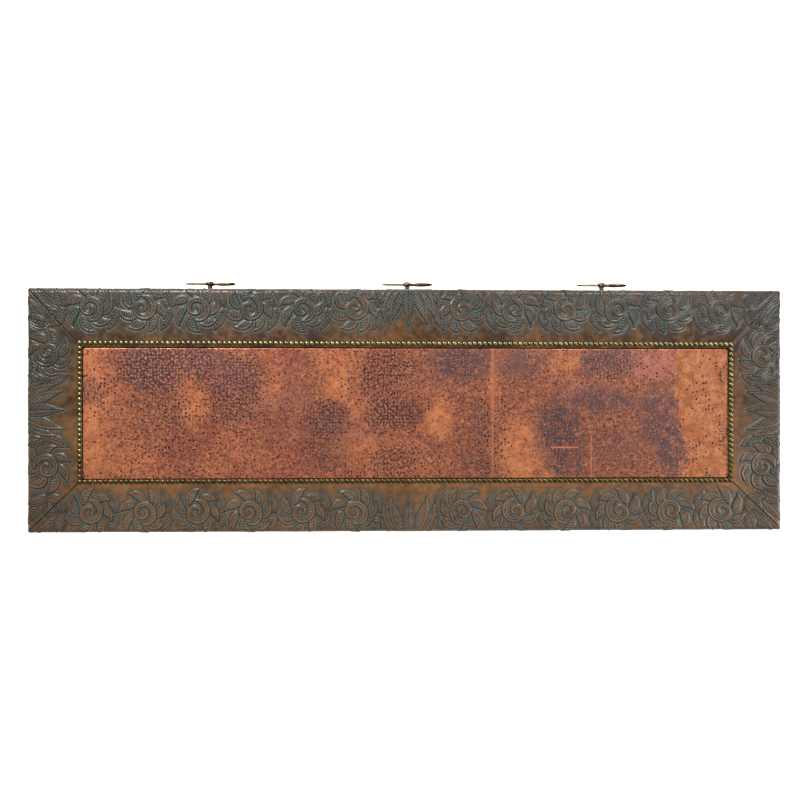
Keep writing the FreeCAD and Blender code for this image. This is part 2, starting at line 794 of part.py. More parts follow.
def drawer_leather(name, centre):
    """Leather glued over the drawer front, with the hole for the pull's screw."""
    skin = block((centre - half_front, centre + half_front), (front_face, hide_back),
                 (front_low, front_high))
    hole = rod(pull_screw_radius + thread_gap, hide + 2 * MARGIN, centre, hide_back + MARGIN,
               pull_level, TO_FRONT)
    keep(cut(skin, [hole]), f"drawer_{name}_leather")


def drawer_nails(name, centre, nail):
    reach_x = number_of(half_front - drawer_nail_line)
    reach_z = number_of((front_high - front_low) / 2 - drawer_nail_line)
    points = ring(reach_x, reach_z, number_of(nail_pitch))
    spots = [at(centre + u, front_face, pull_level + v, TO_FRONT) for u, v in points]
    group(f"drawer_{name}_nails", nail.Shape, spots)


def drawer_back_and_bottom(name, centre):
    back = block(*back_spans(centre, ZERO))
    pivot = rod(pivot_radius + thread_gap, back_thickness + 2 * MARGIN, centre, back_rear + MARGIN,
                pivot_level, TO_FRONT)
    keep(cut(back, [pivot]), f"drawer_{name}_back")
    keep(block(*bottom_spans(centre, ZERO)), f"drawer_{name}_bottom")


def along_bar(centre, middle, widths):
    """Outline of the bar from one tip to the other: a (distance, width) pair for each section."""
    shares = widths + [(-share, width) for share, width in reversed(widths) if share]
    stations = [(centre - pull_half * share, width) for share, width in shares]
    upper = [(x, middle + width / 2) for x, width in stations]
    lower = [(x, middle - width / 2) for x, width in reversed(stations)]
    return lower + upper


def pull(name, centre):
    """A flat bar that turns over from its middle to its tips, on a round post with a rose."""
    bar_y = front_face - pull_projection
    turned = pull_wide * 0.75
    seen = new_body()
    outline = along_bar(centre, pull_level, [(1, pull_tip), (0.8, pull_wide), (0.4, pull_thin)])
    sketch = polygon_sketch(seen, "XZ_Plane", [outline], -bar_y - pull_wide)
    pad(seen, sketch, pull_wide * 2)
    from_above = new_body()
    outline = along_bar(centre, bar_y, [(1, pull_thin), (0.8, pull_thin), (0.4, turned), (0, pull_thin)])
    sketch = polygon_sketch(from_above, "XY_Plane", [outline], pull_level - pull_wide)
    pad(from_above, sketch, pull_wide * 2)
    bar = doc.addObject("Part::MultiCommon", "Bar")
    bar.Shapes = [seen, from_above]
    boss = doc.addObject("Part::Sphere", "Boss")
    boss.Placement = FreeCAD.Placement(FreeCAD.Vector(), SEAM_TO_FRONT)
    bind(boss, {"Radius": boss_radius})
    place(boss, centre, bar_y, pull_level)
    post = rod(post_radius, pull_projection, centre, front_face, pull_level, TO_FRONT)
    rose = rod(rose_radius, rose_thickness, centre, front_face, pull_level, TO_FRONT)
    hole = rod(pull_screw_radius + thread_gap, pull_screw_reach + thread_gap + MARGIN, centre,
               front_face + MARGIN, pull_level, TO_FRONT)
    keep(cut(fuse([bar, boss, post, rose]), [hole]), f"drawer_{name}_pull")


def headed_screw(radius, length, head_radius, x, y, z):
    """A screw along Y whose head starts at y and whose shank runs to the front."""
    head = rod(head_radius, screw_head_height, x, y + screw_head_height, z, TO_FRONT)
    shank = rod(radius, length, x, y, z, TO_FRONT)
    return fuse([head, shank])


def drawer_screws(name, centre):
    """The machine screw of the pull, and the screw that the turn button turns on."""
    reach = front_thickness + hide + pull_screw_reach
    first = headed_screw(pull_screw_radius, reach, pull_head_radius, centre, front_back, pull_level)
    head_y = button_front - button_gap
    head = rod(pivot_head_radius, screw_head_height, centre, head_y, pivot_level, TO_FRONT)
    shank_length_y = back_rear - head_y
    shank = rod(pivot_radius, shank_length_y, centre, back_rear, pivot_level, TO_FRONT)
    keep(fuse([first, fuse([head, shank])]), f"drawer_{name}_screws")


def turn_button(name, centre):
    """A small wooden button on the drawer back, upright in use so that it meets the stop block."""
    low = pivot_level - button_tail
    plate = block((centre - button_width / 2, centre + button_width / 2), (button_front, button_back),
                  (low, button_top))
    bore = rod(pivot_radius + pivot_clearance, button_thickness + 2 * MARGIN, centre,
               button_back + MARGIN, pivot_level, TO_FRONT)
    keep(cut(plate, [bore]), f"drawer_{name}_turn_button")


def stop_blocks():
    """A block under the top, one for each drawer, that the turn button meets at full travel."""
    deep = (stop_front, stop_front + stop_depth)
    one = block((-stop_width / 2, stop_width / 2), deep, (opening_top, board_bottom))
    doc.recompute()
    group("stop_blocks", one.Shape, [at(drawer_step * n, ZERO, ZERO) for n in DRAWERS.values()])


def drawer(name, nail):
    centre = drawer_step * DRAWERS[name]
    drawer_front(name, centre)
    drawer_leather(name, centre)
    drawer_nails(name, centre, nail)
    drawer_sides(name, centre)
    drawer_back_and_bottom(name, centre)
    pull(name, centre)
    drawer_screws(name, centre)
    turn_button(name, centre)


# ---------------------------------------------------------------- build and write

def main():
    top_board()
    for side in SIDES:
        frame_rail(side)
        leather_strip(side)
    copper_core()
    copper_panel()
    nail = dome_nail()
    doc.recompute()
    top_nails(nail)
    for face in FACES:
        for end in ENDS:
            leg(face, end)
    glides()
    aprons_and_rails()
    dividers()
    runners()
    kickers()
    top_screws()
    stop_blocks()
    for name in DRAWERS:
        drawer(name, nail)
    doc.recompute()
    for item in doc.Objects:
        if "Invalid" in item.State or "Error" in item.State:
            raise RuntimeError(f"{item.Name} ({item.Label}) failed: {item.State}")
    labels = [item.Label for item in nodes]
    if len(set(labels)) != len(labels):
        raise RuntimeError("two sub-parts share a name")
    os.makedirs("parts", exist_ok=True)
    for item in nodes:
        shape = item.Shape
        if shape.isNull() or not shape.isValid() or not shape.Solids:
            raise RuntimeError(f"{item.Label} is not a valid solid")
    for item in nodes:
        item.Shape.exportStep(os.path.join("parts", f"{item.Label}.step"))
        print(f"{item.Label}: {len(item.Shape.Solids)} solid(s), {item.Shape.Volume / 1000:.2f} cm3")
    print(f"{len(nodes)} sub-parts")


main()
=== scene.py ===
# %% [markdown]
# # A console table with a tooled leather top
#
# The table has a long top: a flame-coloured copper sheet lies in a frame of tooled leather, and a row
# of dome nails follows the inner edge of the leather. Three drawers open to the front. This lesson
# dresses the imported frame of that table. Everything is in metres, the floor is z = 0 and the drawers
# open towards -Y. The new pieces stand where the frame's own parts stand. The camera, the lamps, the
# paints and the coloured patches of the copper were chosen.

import math

import bpy
import numpy as np
from mathutils import Matrix, Vector


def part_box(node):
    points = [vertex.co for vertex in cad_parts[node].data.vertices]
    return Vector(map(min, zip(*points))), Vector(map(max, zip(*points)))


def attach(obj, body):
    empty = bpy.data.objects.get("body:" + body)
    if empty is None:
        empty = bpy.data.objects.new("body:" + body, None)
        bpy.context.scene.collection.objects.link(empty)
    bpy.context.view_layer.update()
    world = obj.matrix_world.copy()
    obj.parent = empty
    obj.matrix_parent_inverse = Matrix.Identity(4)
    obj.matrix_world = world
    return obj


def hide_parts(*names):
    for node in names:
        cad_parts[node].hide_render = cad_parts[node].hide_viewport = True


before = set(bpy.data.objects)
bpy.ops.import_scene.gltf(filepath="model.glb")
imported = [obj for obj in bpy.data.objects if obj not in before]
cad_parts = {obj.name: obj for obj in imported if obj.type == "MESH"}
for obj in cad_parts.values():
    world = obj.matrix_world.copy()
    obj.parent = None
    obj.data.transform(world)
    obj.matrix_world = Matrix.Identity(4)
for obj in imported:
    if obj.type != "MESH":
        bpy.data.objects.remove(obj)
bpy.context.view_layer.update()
DRAWERS = ("left", "middle", "right")

# %% [markdown]
# ## The camera
#
# The table is looked at from straight above, with its front edge at the top of the picture, so the
# camera's up points to -Y. A camera can be turned with three angles, but it is easier to say where it
# stands, what it looks at and which way is up, and to put these three directions into its matrix.

# %% Camera above the top
leather_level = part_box("leather_front")[1].z
eye = Vector((0.0426, -0.0223, leather_level + 1.219))
looks_at = Vector((0.0197, -0.0228, leather_level))

camera = bpy.data.objects.new("camera", bpy.data.cameras.new("camera"))
camera.data.sensor_width = 36
camera.data.lens = 24.8
camera.data.clip_start = 0.02
backwards = (eye - looks_at).normalized()
rightwards = Vector((0, -1, 0)).cross(backwards).normalized()
upwards = backwards.cross(rightwards)
camera.matrix_world = Matrix.Translation(eye) @ Matrix((rightwards, upwards, backwards)).transposed().to_4x4()
bpy.context.scene.collection.objects.link(camera)
bpy.context.scene.camera = camera
print("camera height above the leather:", round(eye.z - leather_level, 3))

# %% [markdown]
# ## Materials from nodes
#
# A material is a small graph of nodes. Written out in full, each node takes four or five lines, so a
# little helper keeps the graph readable: it makes a node, sets its options, and either links or sets
# each input, depending on what it is given.

# %% A helper for node graphs
class Finish:
    """A material and its node tree. Its shader is the Principled one."""

    def __init__(self, name):
        self.material = bpy.data.materials.new(name)
        self.material.use_nodes = True
        self.tree = self.material.node_tree
        self.shader = self.tree.nodes["Principled BSDF"]

    def node(self, kind, inputs, **options):
        """Makes one node. An input is a socket to link from, or a plain value."""
        made = self.tree.nodes.new("ShaderNode" + kind)
        for name, value in options.items():
            setattr(made, name, value)
        self.feed(made, inputs)
        return made

    def feed(self, made, inputs):
        for name, value in inputs.items():
            if isinstance(value, bpy.types.NodeSocket):
                self.tree.links.new(value, made.inputs[name])
            else:
                made.inputs[name].default_value = value

    def shade(self, **inputs):
        """Feeds the shader; Base_Color stands for the input called Base Color."""
        self.feed(self.shader, {name.replace("_", " "): value for name, value in inputs.items()})

    def place(self, scale=(1, 1, 1)):
        """Object coordinates, stretched."""
        source = self.node("TexCoord", {}).outputs["Object"]
        return self.node("Mapping", {"Vector": source, "Scale": scale}).outputs["Vector"]

    def stored(self, name):
        """A number that the mesh keeps at each of its points."""
        return self.node("Attribute", {}, attribute_name=name).outputs["Fac"]

    def noise(self, where, scale, detail=3.0, rough=0.5, warp=0.0):
        return self.node("TexNoise", {"Vector": where, "Scale": scale, "Detail": detail,
                                      "Roughness": rough, "Distortion": warp}).outputs["Fac"]

    def sum(self, operation, first, second=0.0, third=0.0):
        """One arithmetic step on single numbers."""
        return self.node("Math", {0: first, 1: second, 2: third}, operation=operation).outputs[0]

    def times(self, first, second):
        return self.sum("MULTIPLY", first, second)

    def spread(self, value, low, high, to_low=0.0, to_high=1.0):
        """Stretches low..high to to_low..to_high with a smooth S, and clips what lies outside."""
        return self.node("MapRange", {"Value": value, "From Min": low, "From Max": high,
                                      "To Min": to_low, "To Max": to_high},
                         interpolation_type="SMOOTHSTEP").outputs["Result"]

    def mix(self, share, first, second):
        """Blends two colours; a plain colour is given as three numbers."""
        first, second = (c if isinstance(c, bpy.types.NodeSocket) else (*c, 1) for c in (first, second))
        return self.node("Mix", {0: share, 6: first, 7: second}, data_type="RGBA",
                         clamp_result=True).outputs[2]

    def bump(self, height, depth, strength=1.0, below=None):
        """A normal that makes a height in 0..1 look depth metres deep."""
        inputs = {"Height": height, "Distance": depth, "Strength": strength}
        if below is not None:
            inputs["Normal"] = below
        return self.node("Bump", inputs).outputs["Normal"]


print("helper ready:", Finish.__name__)

# %% [markdown]
# ## Floor and light
#
# A plain pale floor and large soft lamps keep the colours honest. The key lamp stands beyond the
# front edge of the table and a little to its right end, so the rolled front edge and the nail heads
# catch it, and the shadows fall away from the front. The plain view transform shows each colour as it
# was mixed, with its full contrast.

# %% Floor
floor_mesh = bpy.data.meshes.new("floor")
reach = 60.0
floor_mesh.from_pydata([(-reach, -reach, 0), (reach, -reach, 0), (reach, reach, 0), (-reach, reach, 0)],
                       [], [(0, 1, 2, 3)])
floor = bpy.data.objects.new("floor", floor_mesh)
bpy.context.scene.collection.objects.link(floor)
pale = Finish("pale_floor")
pale.shade(Base_Color=(0.9, 0.9, 0.89, 1), Roughness=0.9, Emission_Color=(1, 1, 1, 1),
           Emission_Strength=0.75)
floor_mesh.materials.append(pale.material)

# %% Lamps and sky
def soft_lamp(name, where, target, width, height, power, tint=(1, 1, 1)):
    """A rectangular lamp that faces its target."""
    data = bpy.data.lights.new(name, "AREA")
    data.shape = "RECTANGLE"
    data.size, data.size_y, data.energy, data.color = width, height, power, tint
    lamp = bpy.data.objects.new(name, data)
    lamp.location = where
    lamp.rotation_euler = (Vector(target) - Vector(where)).to_track_quat("-Z", "Y").to_euler()
    bpy.context.scene.collection.objects.link(lamp)


middle_of_top = Vector((0, 0, leather_level))
soft_lamp("key_lamp", (1.5, -2.0, 2.9), middle_of_top, 1.0, 0.6, 105, (1.0, 0.985, 0.96))
soft_lamp("sheen_lamp", (-1.2, -1.35, 2.6), (-0.4, -0.25, leather_level), 0.7, 0.4, 26, (0.97, 0.95, 1.0))
soft_lamp("fill_lamp", (-3.4, 0.6, 2.3), middle_of_top, 1.6, 1.6, 60)
soft_lamp("back_lamp", (-0.4, 3.4, 1.7), (0, 0, 0.6), 2.4, 1.4, 15)
soft_lamp("low_front_lamp", (-0.3, -3.4, 0.9), (0, 0, 0.6), 2.4, 1.2, 12)
world = bpy.data.worlds.new("studio")
world.use_nodes = True
nodes, link = world.node_tree.nodes, world.node_tree.links.new
nodes["Background"].inputs["Color"].default_value = (0.95, 0.97, 1.0, 1)
nodes["Background"].inputs["Strength"].default_value = 0.3
seen_sky = nodes.new("ShaderNodeBackground")
seen_sky.inputs["Color"].default_value = (1, 1, 1, 1)
either = nodes.new("ShaderNodeMixShader")
link(nodes.new("ShaderNodeLightPath").outputs["Is Camera Ray"], either.inputs[0])
link(nodes["Background"].outputs[0], either.inputs[1])
link(seen_sky.outputs[0], either.inputs[2])
link(either.outputs[0], nodes["World Output"].inputs["Surface"])
bpy.context.scene.world = world
bpy.context.scene.view_settings.view_transform = "Standard"

# %% [markdown]
# ## Putting numpy surfaces into Blender
#
# Most of the new pieces are grids of points: rows run across the piece and columns run along it.
# numpy works out all points at once, and foreach_set copies them into the mesh in one go, which is
# far quicker than adding one vertex after another.

# %% Mesh helpers
def put_in_scene(name, points, faces, body, stored, flat):
    """Makes an object from points (n, 3) and a list of face arrays, each (m, corners).
    stored gives numbers to keep at the points; flat names the face arrays that stay unsmoothed."""
    mesh = bpy.data.meshes.new(name)
    corners = np.concatenate([np.asarray(f).ravel() for f in faces]).astype(np.int32)
    totals = np.concatenate([np.full(len(f), np.shape(f)[1]) for f in faces]).astype(np.int32)
    mesh.vertices.add(len(points))
    mesh.vertices.foreach_set("co", np.asarray(points, np.float32).ravel())
    mesh.loops.add(len(corners))
    mesh.loops.foreach_set("vertex_index", corners)
    mesh.polygons.add(len(totals))
    mesh.polygons.foreach_set("loop_start", np.concatenate([[0], np.cumsum(totals)[:-1]]).astype(np.int32))
    smooth = np.concatenate([np.full(len(f), n not in flat) for n, f in enumerate(faces)])
    mesh.polygons.foreach_set("use_smooth", smooth)
    mesh.update(calc_edges=True)
    for key, values in stored.items():
        mesh.attributes.new(key, "FLOAT", "POINT").data.foreach_set("value", np.asarray(values, np.float32))
    piece = bpy.data.objects.new(name, mesh)
    bpy.context.scene.collection.objects.link(piece)
    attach(piece, body)
    return piece


def tube_faces(rows, columns, round_rows=True, round_columns=False, first=0):
    """Four-cornered faces of a grid whose point (row, column) has number first + row * columns + column.
    A direction that is round joins its last line to its first."""
    i = np.arange(rows if round_rows else rows - 1)[:, None]
    j = np.arange(columns if round_columns else columns - 1)[None, :]
    i2, j2 = (i + 1) % rows, (j + 1) % columns
    quad = [i * columns + j, i * columns + j2, i2 * columns + j2, i2 * columns + j]
    return first + np.stack([np.broadcast_to(q, (i.size, j.size)) for q in quad], -1).reshape(-1, 4)


def triangles_of(piece):
    counts = np.zeros(len(piece.data.polygons), np.int32)
    piece.data.polygons.foreach_get("loop_total", counts)
    return int((counts - 2).sum())


def soft_noise(x, y, size, seed):
    """Smooth random hills from -1 to 1: random numbers on a lattice of that size, eased in between."""
    table = np.random.default_rng(seed).uniform(-1, 1, (64, 64))
    u, v = x / size + 1000.0, y / size + 1000.0
    i, j = np.floor(u).astype(int), np.floor(v).astype(int)
    fu, fv = u - i, v - j
    fu, fv = fu * fu * (3 - 2 * fu), fv * fv * (3 - 2 * fv)
    near = lambda di, dj: table[(i + di) % 64, (j + dj) % 64]
    return ((near(0, 0) * (1 - fu) + near(1, 0) * fu) * (1 - fv)
            + (near(0, 1) * (1 - fu) + near(1, 1) * fu) * fv)


def eased(value, low, high):
    """0 below low, 1 above high, and a smooth S between."""
    t = np.clip((value - low) / (high - low), 0, 1)
    return t * t * (3 - 2 * t)


print("one square of the grid:", tube_faces(2, 2, round_rows=False).tolist())

# %% [markdown]
# ## The tooled pattern
#
# Tooled leather is cased (wetted), a line is cut around each leaf, and the ground beside the cut is
# beaten down, so the leaves stand up. A leaf here is a spine of points (s, a, half width): s runs along
# the strip from its middle, a runs inwards from the outer edge, both in millimetres. A smooth line
# goes through those points, and the leaf is everything that is nearer to the line than FULLNESS
# times the half width there.
#
# The pattern is a plain running scroll, worked out from the sizes below: a fan of lobes in the middle
# of the strip, then volutes at even steps with a ring of leaves around each, which wind one way and
# the other in turn, and a fan of leaves towards the mitre. What lies behind is listed first.

# %% Leaves of a strip
SCROLL_MIDDLE = 46.0      # from the outer edge to the middle of the scroll
SCROLL_PITCH = 118.0      # from one volute to the next, as near as whole volutes allow
VOLUTE_RADIUS = 27.0
VOLUTE_TURN = 480         # degrees, one and a third turns
FULLNESS = 1.28           # how much wider a leaf is pressed than its spine says
FAN_REACH = 62.0          # half of the middle fan
CORNER_ROOM = 80.0        # kept free of volutes at the mitre
LEAF_ROOT = 22.0          # from the middle of a volute to where its leaves start
LEAF_STEP = 51            # degrees from one leaf of a ring to the next
CORNER_LEAVES = ((-66, 50), (34, 40), (-4, 56), (-34, 88))          # heading, length
FAN_LEAVES = ((4, 74, 66), (32, 92, 46), (58, 96, 20))              # heading, length, bend
LONG_HALF, SHORT_HALF, DRAWER_HALF = 838, 270, 250


def leaf_spine(s, a, heading, length, bend, half):
    """An arc from (s, a): it starts along heading and turns evenly by bend, both in degrees. The half
    width follows a sine, so the leaf is widest near its middle and pointed at both ends."""
    t = np.linspace(0, 1, 7)
    angle = np.radians(heading + bend * (t[:-1] + t[1:]) / 2)
    steps = length / 6 * np.stack([np.cos(angle), np.sin(angle)], -1)
    places = np.array([s, a]) + np.vstack([[0, 0], np.cumsum(steps, 0)])
    return np.column_stack([places, np.maximum(half * np.sin(np.pi * t ** 0.8), 1.2)])


def volute_spine(s, a, start, sense):
    """A spiral that winds inwards by VOLUTE_TURN: its radius falls evenly to a fifth, and its half
    width from 6.5 to 3 mm, with a narrow start."""
    t = np.linspace(0, 1, 15)
    angle = np.radians(start + sense * VOLUTE_TURN * t)
    radius = VOLUTE_RADIUS * (1 - 0.8 * t)
    half = (6.5 - 3.5 * t) * np.minimum(1, 0.3 + 8 * t)
    return np.stack([s + radius * np.cos(angle), a + radius * np.sin(angle), half], -1)


def strip_leaves(half_length):
    """All leaves of one half of a strip, as (veins, spine), from the back to the front."""
    leaves = []
    reach = half_length - CORNER_ROOM
    count = max(1, round((reach - FAN_REACH) / SCROLL_PITCH))
    pitch = (reach - FAN_REACH) / count
    for heading, length in CORNER_LEAVES:
        leaves.append(("both", leaf_spine(reach - 8, SCROLL_MIDDLE + 2, heading, length, 0.2 * heading, 10)))
    for n in range(count + 1):
        for heading in (-78, 78):
            s = FAN_REACH + pitch * n
            leaves.append(("both", leaf_spine(s, SCROLL_MIDDLE, heading, 50, -0.2 * heading, 9.5)))
    for n in range(count):
        s, sense = FAN_REACH + pitch * (n + 0.5), 1 if n % 2 else -1
        for turn in range(0, 360, LEAF_STEP):
            angle = math.radians(turn)
            root = s + LEAF_ROOT * math.cos(angle), SCROLL_MIDDLE + LEAF_ROOT * math.sin(angle)
            leaves.append(("swept", leaf_spine(*root, turn + 35 * sense, 44, 75 * sense, 8)))
        leaves.append(("swept", volute_spine(s, SCROLL_MIDDLE, 90 * sense, sense)))
    for heading, length, bend in FAN_LEAVES:
        leaves.append(("swept", leaf_spine(6, -8, heading, length, bend, 10)))
    leaves.append(("both", leaf_spine(0, -11, 90, 92, 0, 11)))
    return leaves


def flowing(spine, step=1.2):
    """Carries a smooth line through the points of a spine: between two points it is the Catmull-Rom
    cubic, whose slope at a point is half the step from the point before to the point after."""
    p = np.array(spine, float)
    p = np.vstack([2 * p[0] - p[1], p, 2 * p[-1] - p[-2]])
    stretches = []
    for before, start, end, after in zip(p[:-3], p[1:-2], p[2:-1], p[3:]):
        count = max(2, int(np.hypot(*(end - start)[:2]) / step))
        t = np.arange(count)[:, None] / count
        stretches.append(0.5 * (2 * start + (end - before) * t
                                + (2 * before - 5 * start + 4 * end - after) * t ** 2
                                + (3 * start - before - 3 * end + after) * t ** 3))
    return np.vstack(stretches + [p[-2:-1]])


LONG_LEAVES, SHORT_LEAVES = strip_leaves(LONG_HALF), strip_leaves(SHORT_HALF)
print("leaves on half a strip:", len(LONG_LEAVES), "long,", len(SHORT_LEAVES), "short")

# %% [markdown]
# ## Pressing a leaf
#
# Each leaf gets a low crown, a raised rim with a groove inside it, and veins that slant across it.
# Outside, the ground falls away from the cut line. The relief goes into the mesh. The wash that
# settles in the hollows, the dark cut line, the rim and the place of each vein are kept as numbers
# at the points, and the material reads them later.

# %% Press one leaf
def ridge(value, centre, width):
    """A bell-shaped ridge: 1 at the centre, about a third one width away."""
    return np.exp(-((value - centre) / width) ** 2)


def press_leaf(field, s, a, veins, spine):
    """Presses one leaf into the field. At each point, inside is the largest value of the half width
    minus the distance over all samples of the spine. The line is cut where inside is 0. A swept leaf
    has a plain raised rim along its bulging side, and veins that slant from there across the leaf. The
    bulging side is the one away from which the spine turns. Other leaves have a rim all round, a
    groove along the spine, and veins on both halves."""
    x, y, half = flowing(spine).T
    half = np.maximum(FULLNESS * half, 0.8)
    reach = half.max() + 11
    near = np.flatnonzero((s > x.min() - reach) & (s < x.max() + reach)
                          & (a > y.min() - reach) & (a < y.max() + reach))
    if not len(near):
        return
    depth = half - np.hypot(s[near, None] - x, a[near, None] - y)
    k = depth.argmax(1)
    inside = depth[np.arange(len(near)), k]
    turn_x, turn_y = np.gradient(x), np.gradient(y)
    pace = np.hypot(turn_x, turn_y)
    turn_x, turn_y = turn_x / pace, turn_y / pace
    length = np.concatenate([[0], np.cumsum(np.hypot(np.diff(x), np.diff(y)))])
    dx, dy = s[near] - x[k], a[near] - y[k]
    along = length[k] + dx * turn_x[k] + dy * turn_y[k]
    off = dx * -turn_y[k] + dy * turn_x[k]
    wide = half[k]
    cover = eased(inside, -0.7, 0.7)
    broad = eased(wide, 4, 6)
    if veins == "swept":
        bends = np.sign(np.sum(turn_x[:-1] * turn_y[1:] - turn_y[:-1] * turn_x[1:])) or 1.0
        from_rim = wide + bends * off
        rim = ridge(from_rim, 3.0, 2.2)
        groove = ridge(from_rim, 6.4, 1.0) * eased(inside, 0.5, 2)
        veined = eased(from_rim, 6.2, 7.4) * eased(inside, 0.6, 1.6)
        veined = veined * (0.5 + 0.5 * np.clip(from_rim / wide - 0.5, 0, 1))
        slant = (along - 0.55 * bends * off) / 6.6
    else:
        from_rim = inside
        rim = ridge(inside, 1.9, 1.3)
        groove = np.maximum(broad * ridge(inside, 4.0, 1.0), ridge(off, 0, 1.0) * (inside > 1.5))
        veined = eased(inside, 3.8, 4.8) * eased(np.abs(off), 1.0, 2.2)
        slant = (along - 0.8 * np.abs(off)) / 6.6
    crown = 0.45 * (1 - (1 - np.clip(inside / (0.75 * wide), 0, 1)) ** 2)
    height = 0.15 + crown + 0.55 * rim - 0.55 * groove
    outside = np.maximum(-inside, 0)
    lowered = field["height"][near] * (1 - 0.6 * np.exp(-outside / 3))
    lowered -= 0.7 * ridge(inside, -1.0, 1.1) + 0.35 * np.exp(-outside / 4)
    field["height"][near] = lowered * (1 - cover) + height * cover
    beside = np.maximum(1.15 * ridge(inside, -2.0, 1.3), 0.62 * np.exp(-(outside / 8) ** 2))
    old = field["wash"][near]
    field["wash"][near] = np.maximum(old, beside) * (1 - cover) + 0.5 * groove * cover
    field["vein"][near] = field["vein"][near] * (1 - cover) + veined * cover
    inner = inside > 0
    field["phase"][near[inner]] = slant[inner]
    cut = np.maximum(ridge(inside, 0.3, 0.9), 0.55 * groove * (inside > 1))
    field["line"][near] = np.maximum(field["line"][near] * (1 - cover), cut)
    field["rim"][near] = field["rim"][near] * (1 - cover) + rim * cover
    field["gap"][near] = np.minimum(field["gap"][near], outside)


print("a ridge one width from its centre:", round(float(ridge(1.0, 0.0, 1.0)), 3))

# %% [markdown]
# A whole strip is tooled by pressing all its leaves. The pattern is the same on both halves of a
# strip, so s is taken without its sign. Hand work is never quite even, so the points are first moved
# a millimetre or two by soft noise, in a different way on each strip.

# %% Tool a whole strip
def tooled(s, a, leaves, plain_from, seed, plain_before=-16.0):
    """All numbers of a strip at its points (s, a): height in mm, and wash, vein, phase, line and rim.
    Beyond plain_from, beside the nails, and on the outer side of the edge the ground is plain."""
    shape = s.shape
    s, a = s.ravel(), a.ravel()
    moved_s = np.abs(s + 1.6 * soft_noise(s, a, 45, seed))
    moved_a = a + 1.4 * soft_noise(s, a, 55, seed + 1)
    field = {key: np.zeros(len(s)) for key in ("height", "wash", "vein", "phase", "line", "rim")}
    field["gap"] = np.full(len(s), 60.0)
    for veins, spine in leaves:
        press_leaf(field, moved_s, moved_a, veins, spine)
    ground = 0.62 * np.exp(-(field.pop("gap") / 11) ** 2)
    field["wash"] = np.maximum(field["wash"], ground * (1 - field["vein"]) * (field["height"] < 0.2))
    keep = eased(a, plain_before - 5, plain_before) * (1 - eased(a, plain_from - 3, plain_from + 2))
    for key in ("height", "wash", "vein", "line", "rim"):
        field[key] *= keep
    edge_line = ridge(a, plain_before - 5, 1.2) + ridge(a, plain_before - 9, 1.2)
    field["height"] += (-0.5 * edge_line + 0.25 * soft_noise(s, a, 38, seed + 2)
                        + 0.12 * soft_noise(s, a, 14, seed + 3))
    field["line"] = np.clip(field["line"] + 0.6 * edge_line, 0, 1)
    field["wash"] = np.clip(field["wash"], 0, 1)
    return {key: values.reshape(shape) for key, values in field.items()}


trial = tooled(np.linspace(-0.7, 0.7, 9)[None, :] * 1000, np.full((1, 9), 50.0), LONG_LEAVES, 106, 1)
print("relief along the middle of a long rail, in mm:", np.round(trial["height"][0], 2))

# %% [markdown]
# ## The leather strips
#
# Four strips cover the frame of the top. The leather starts under the board, comes round the lower
# edge, climbs the side, rolls over the upper edge, crosses the top, and turns down into the recess
# beside the copper. That path is the profile. It is carried along the rail, and each of its points
# stops where the mitre cuts it, so the two ends come out slanted without any cutting.

# %% The profile of a strip
HIDE = 1.8
LOWER_ARC, UPPER_ARC, FILLET = 3.0, 12.0, 1.8
HEM = 8.0             # how far the leather goes in under the board
NAIL_BAND = 17.0      # plain leather beside the inner edge, where the nails stand
MITRE_GAP = 0.2       # from the end of a strip to the middle of the mitre
LONG_BUDGET, SHORT_BUDGET = 196000, 118000      # triangles in a strip, at most
FINE_STEP, COARSE_STEP = 1.25, 1.6              # between rows, in a short and in a long strip


def arc(centre_p, centre_z, radius, start, end, count):
    """Points of an arc in the (p, z) plane; angles in degrees, 0 along +p and 90 up."""
    angle = np.radians(np.linspace(start, end, count))
    return np.stack([centre_p + radius * np.cos(angle), centre_z + radius * np.sin(angle)], -1)


def strip_profile(width, bottom, board, top, step):
    """The closed path round a strip, in mm: p inwards from the outer side, z up. The outer face comes
    first, then the inner face goes back HIDE deeper. Also says how many points the outer face has."""
    across = np.arange(UPPER_ARC, width - FILLET - 3, step)[1:]
    outer = np.vstack([
        [[HEM, bottom], [5.5, bottom]],
        arc(LOWER_ARC, bottom + LOWER_ARC, LOWER_ARC, 270, 180, 4),
        np.stack([np.zeros(8), np.linspace(bottom + LOWER_ARC, top - UPPER_ARC, 10)[1:-1]], -1),
        arc(UPPER_ARC, top - UPPER_ARC, UPPER_ARC, 180, 90, 9),
        np.stack([across, np.full(len(across), top)], -1),
        arc(width - FILLET, top - FILLET, FILLET, 90, 0, 4),
        [[width, board + 14], [width, board]]])
    inner = np.vstack([
        [[width - HIDE, board], [width - HIDE, top - HIDE]],
        arc(UPPER_ARC, top - UPPER_ARC, UPPER_ARC - HIDE, 90, 180, 4),
        arc(LOWER_ARC, bottom + LOWER_ARC, LOWER_ARC - HIDE, 180, 270, 3),
        [[HEM, bottom + HIDE]]])
    return np.vstack([outer, inner]), len(outer)


def inward_length(profile, top):
    """The pattern's a at each point: p on the flat top, and as many millimetres less as the arc and
    the side are long from there."""
    p, z = profile.T
    step = np.hypot(np.diff(p), np.diff(z))
    walked = np.concatenate([[0], np.cumsum(step)])
    on_top = np.flatnonzero((z > top - 1e-6) & (p >= UPPER_ARC - 1e-6))[0]
    return walked - walked[on_top] + p[on_top]


def outward_normals(profile):
    """Each point's normal: the path's direction there, turned a quarter."""
    ahead = np.roll(profile, -1, 0) - np.roll(profile, 1, 0)
    normal = np.stack([-ahead[:, 1], ahead[:, 0]], -1)
    return normal / np.linalg.norm(normal, axis=1, keepdims=True)


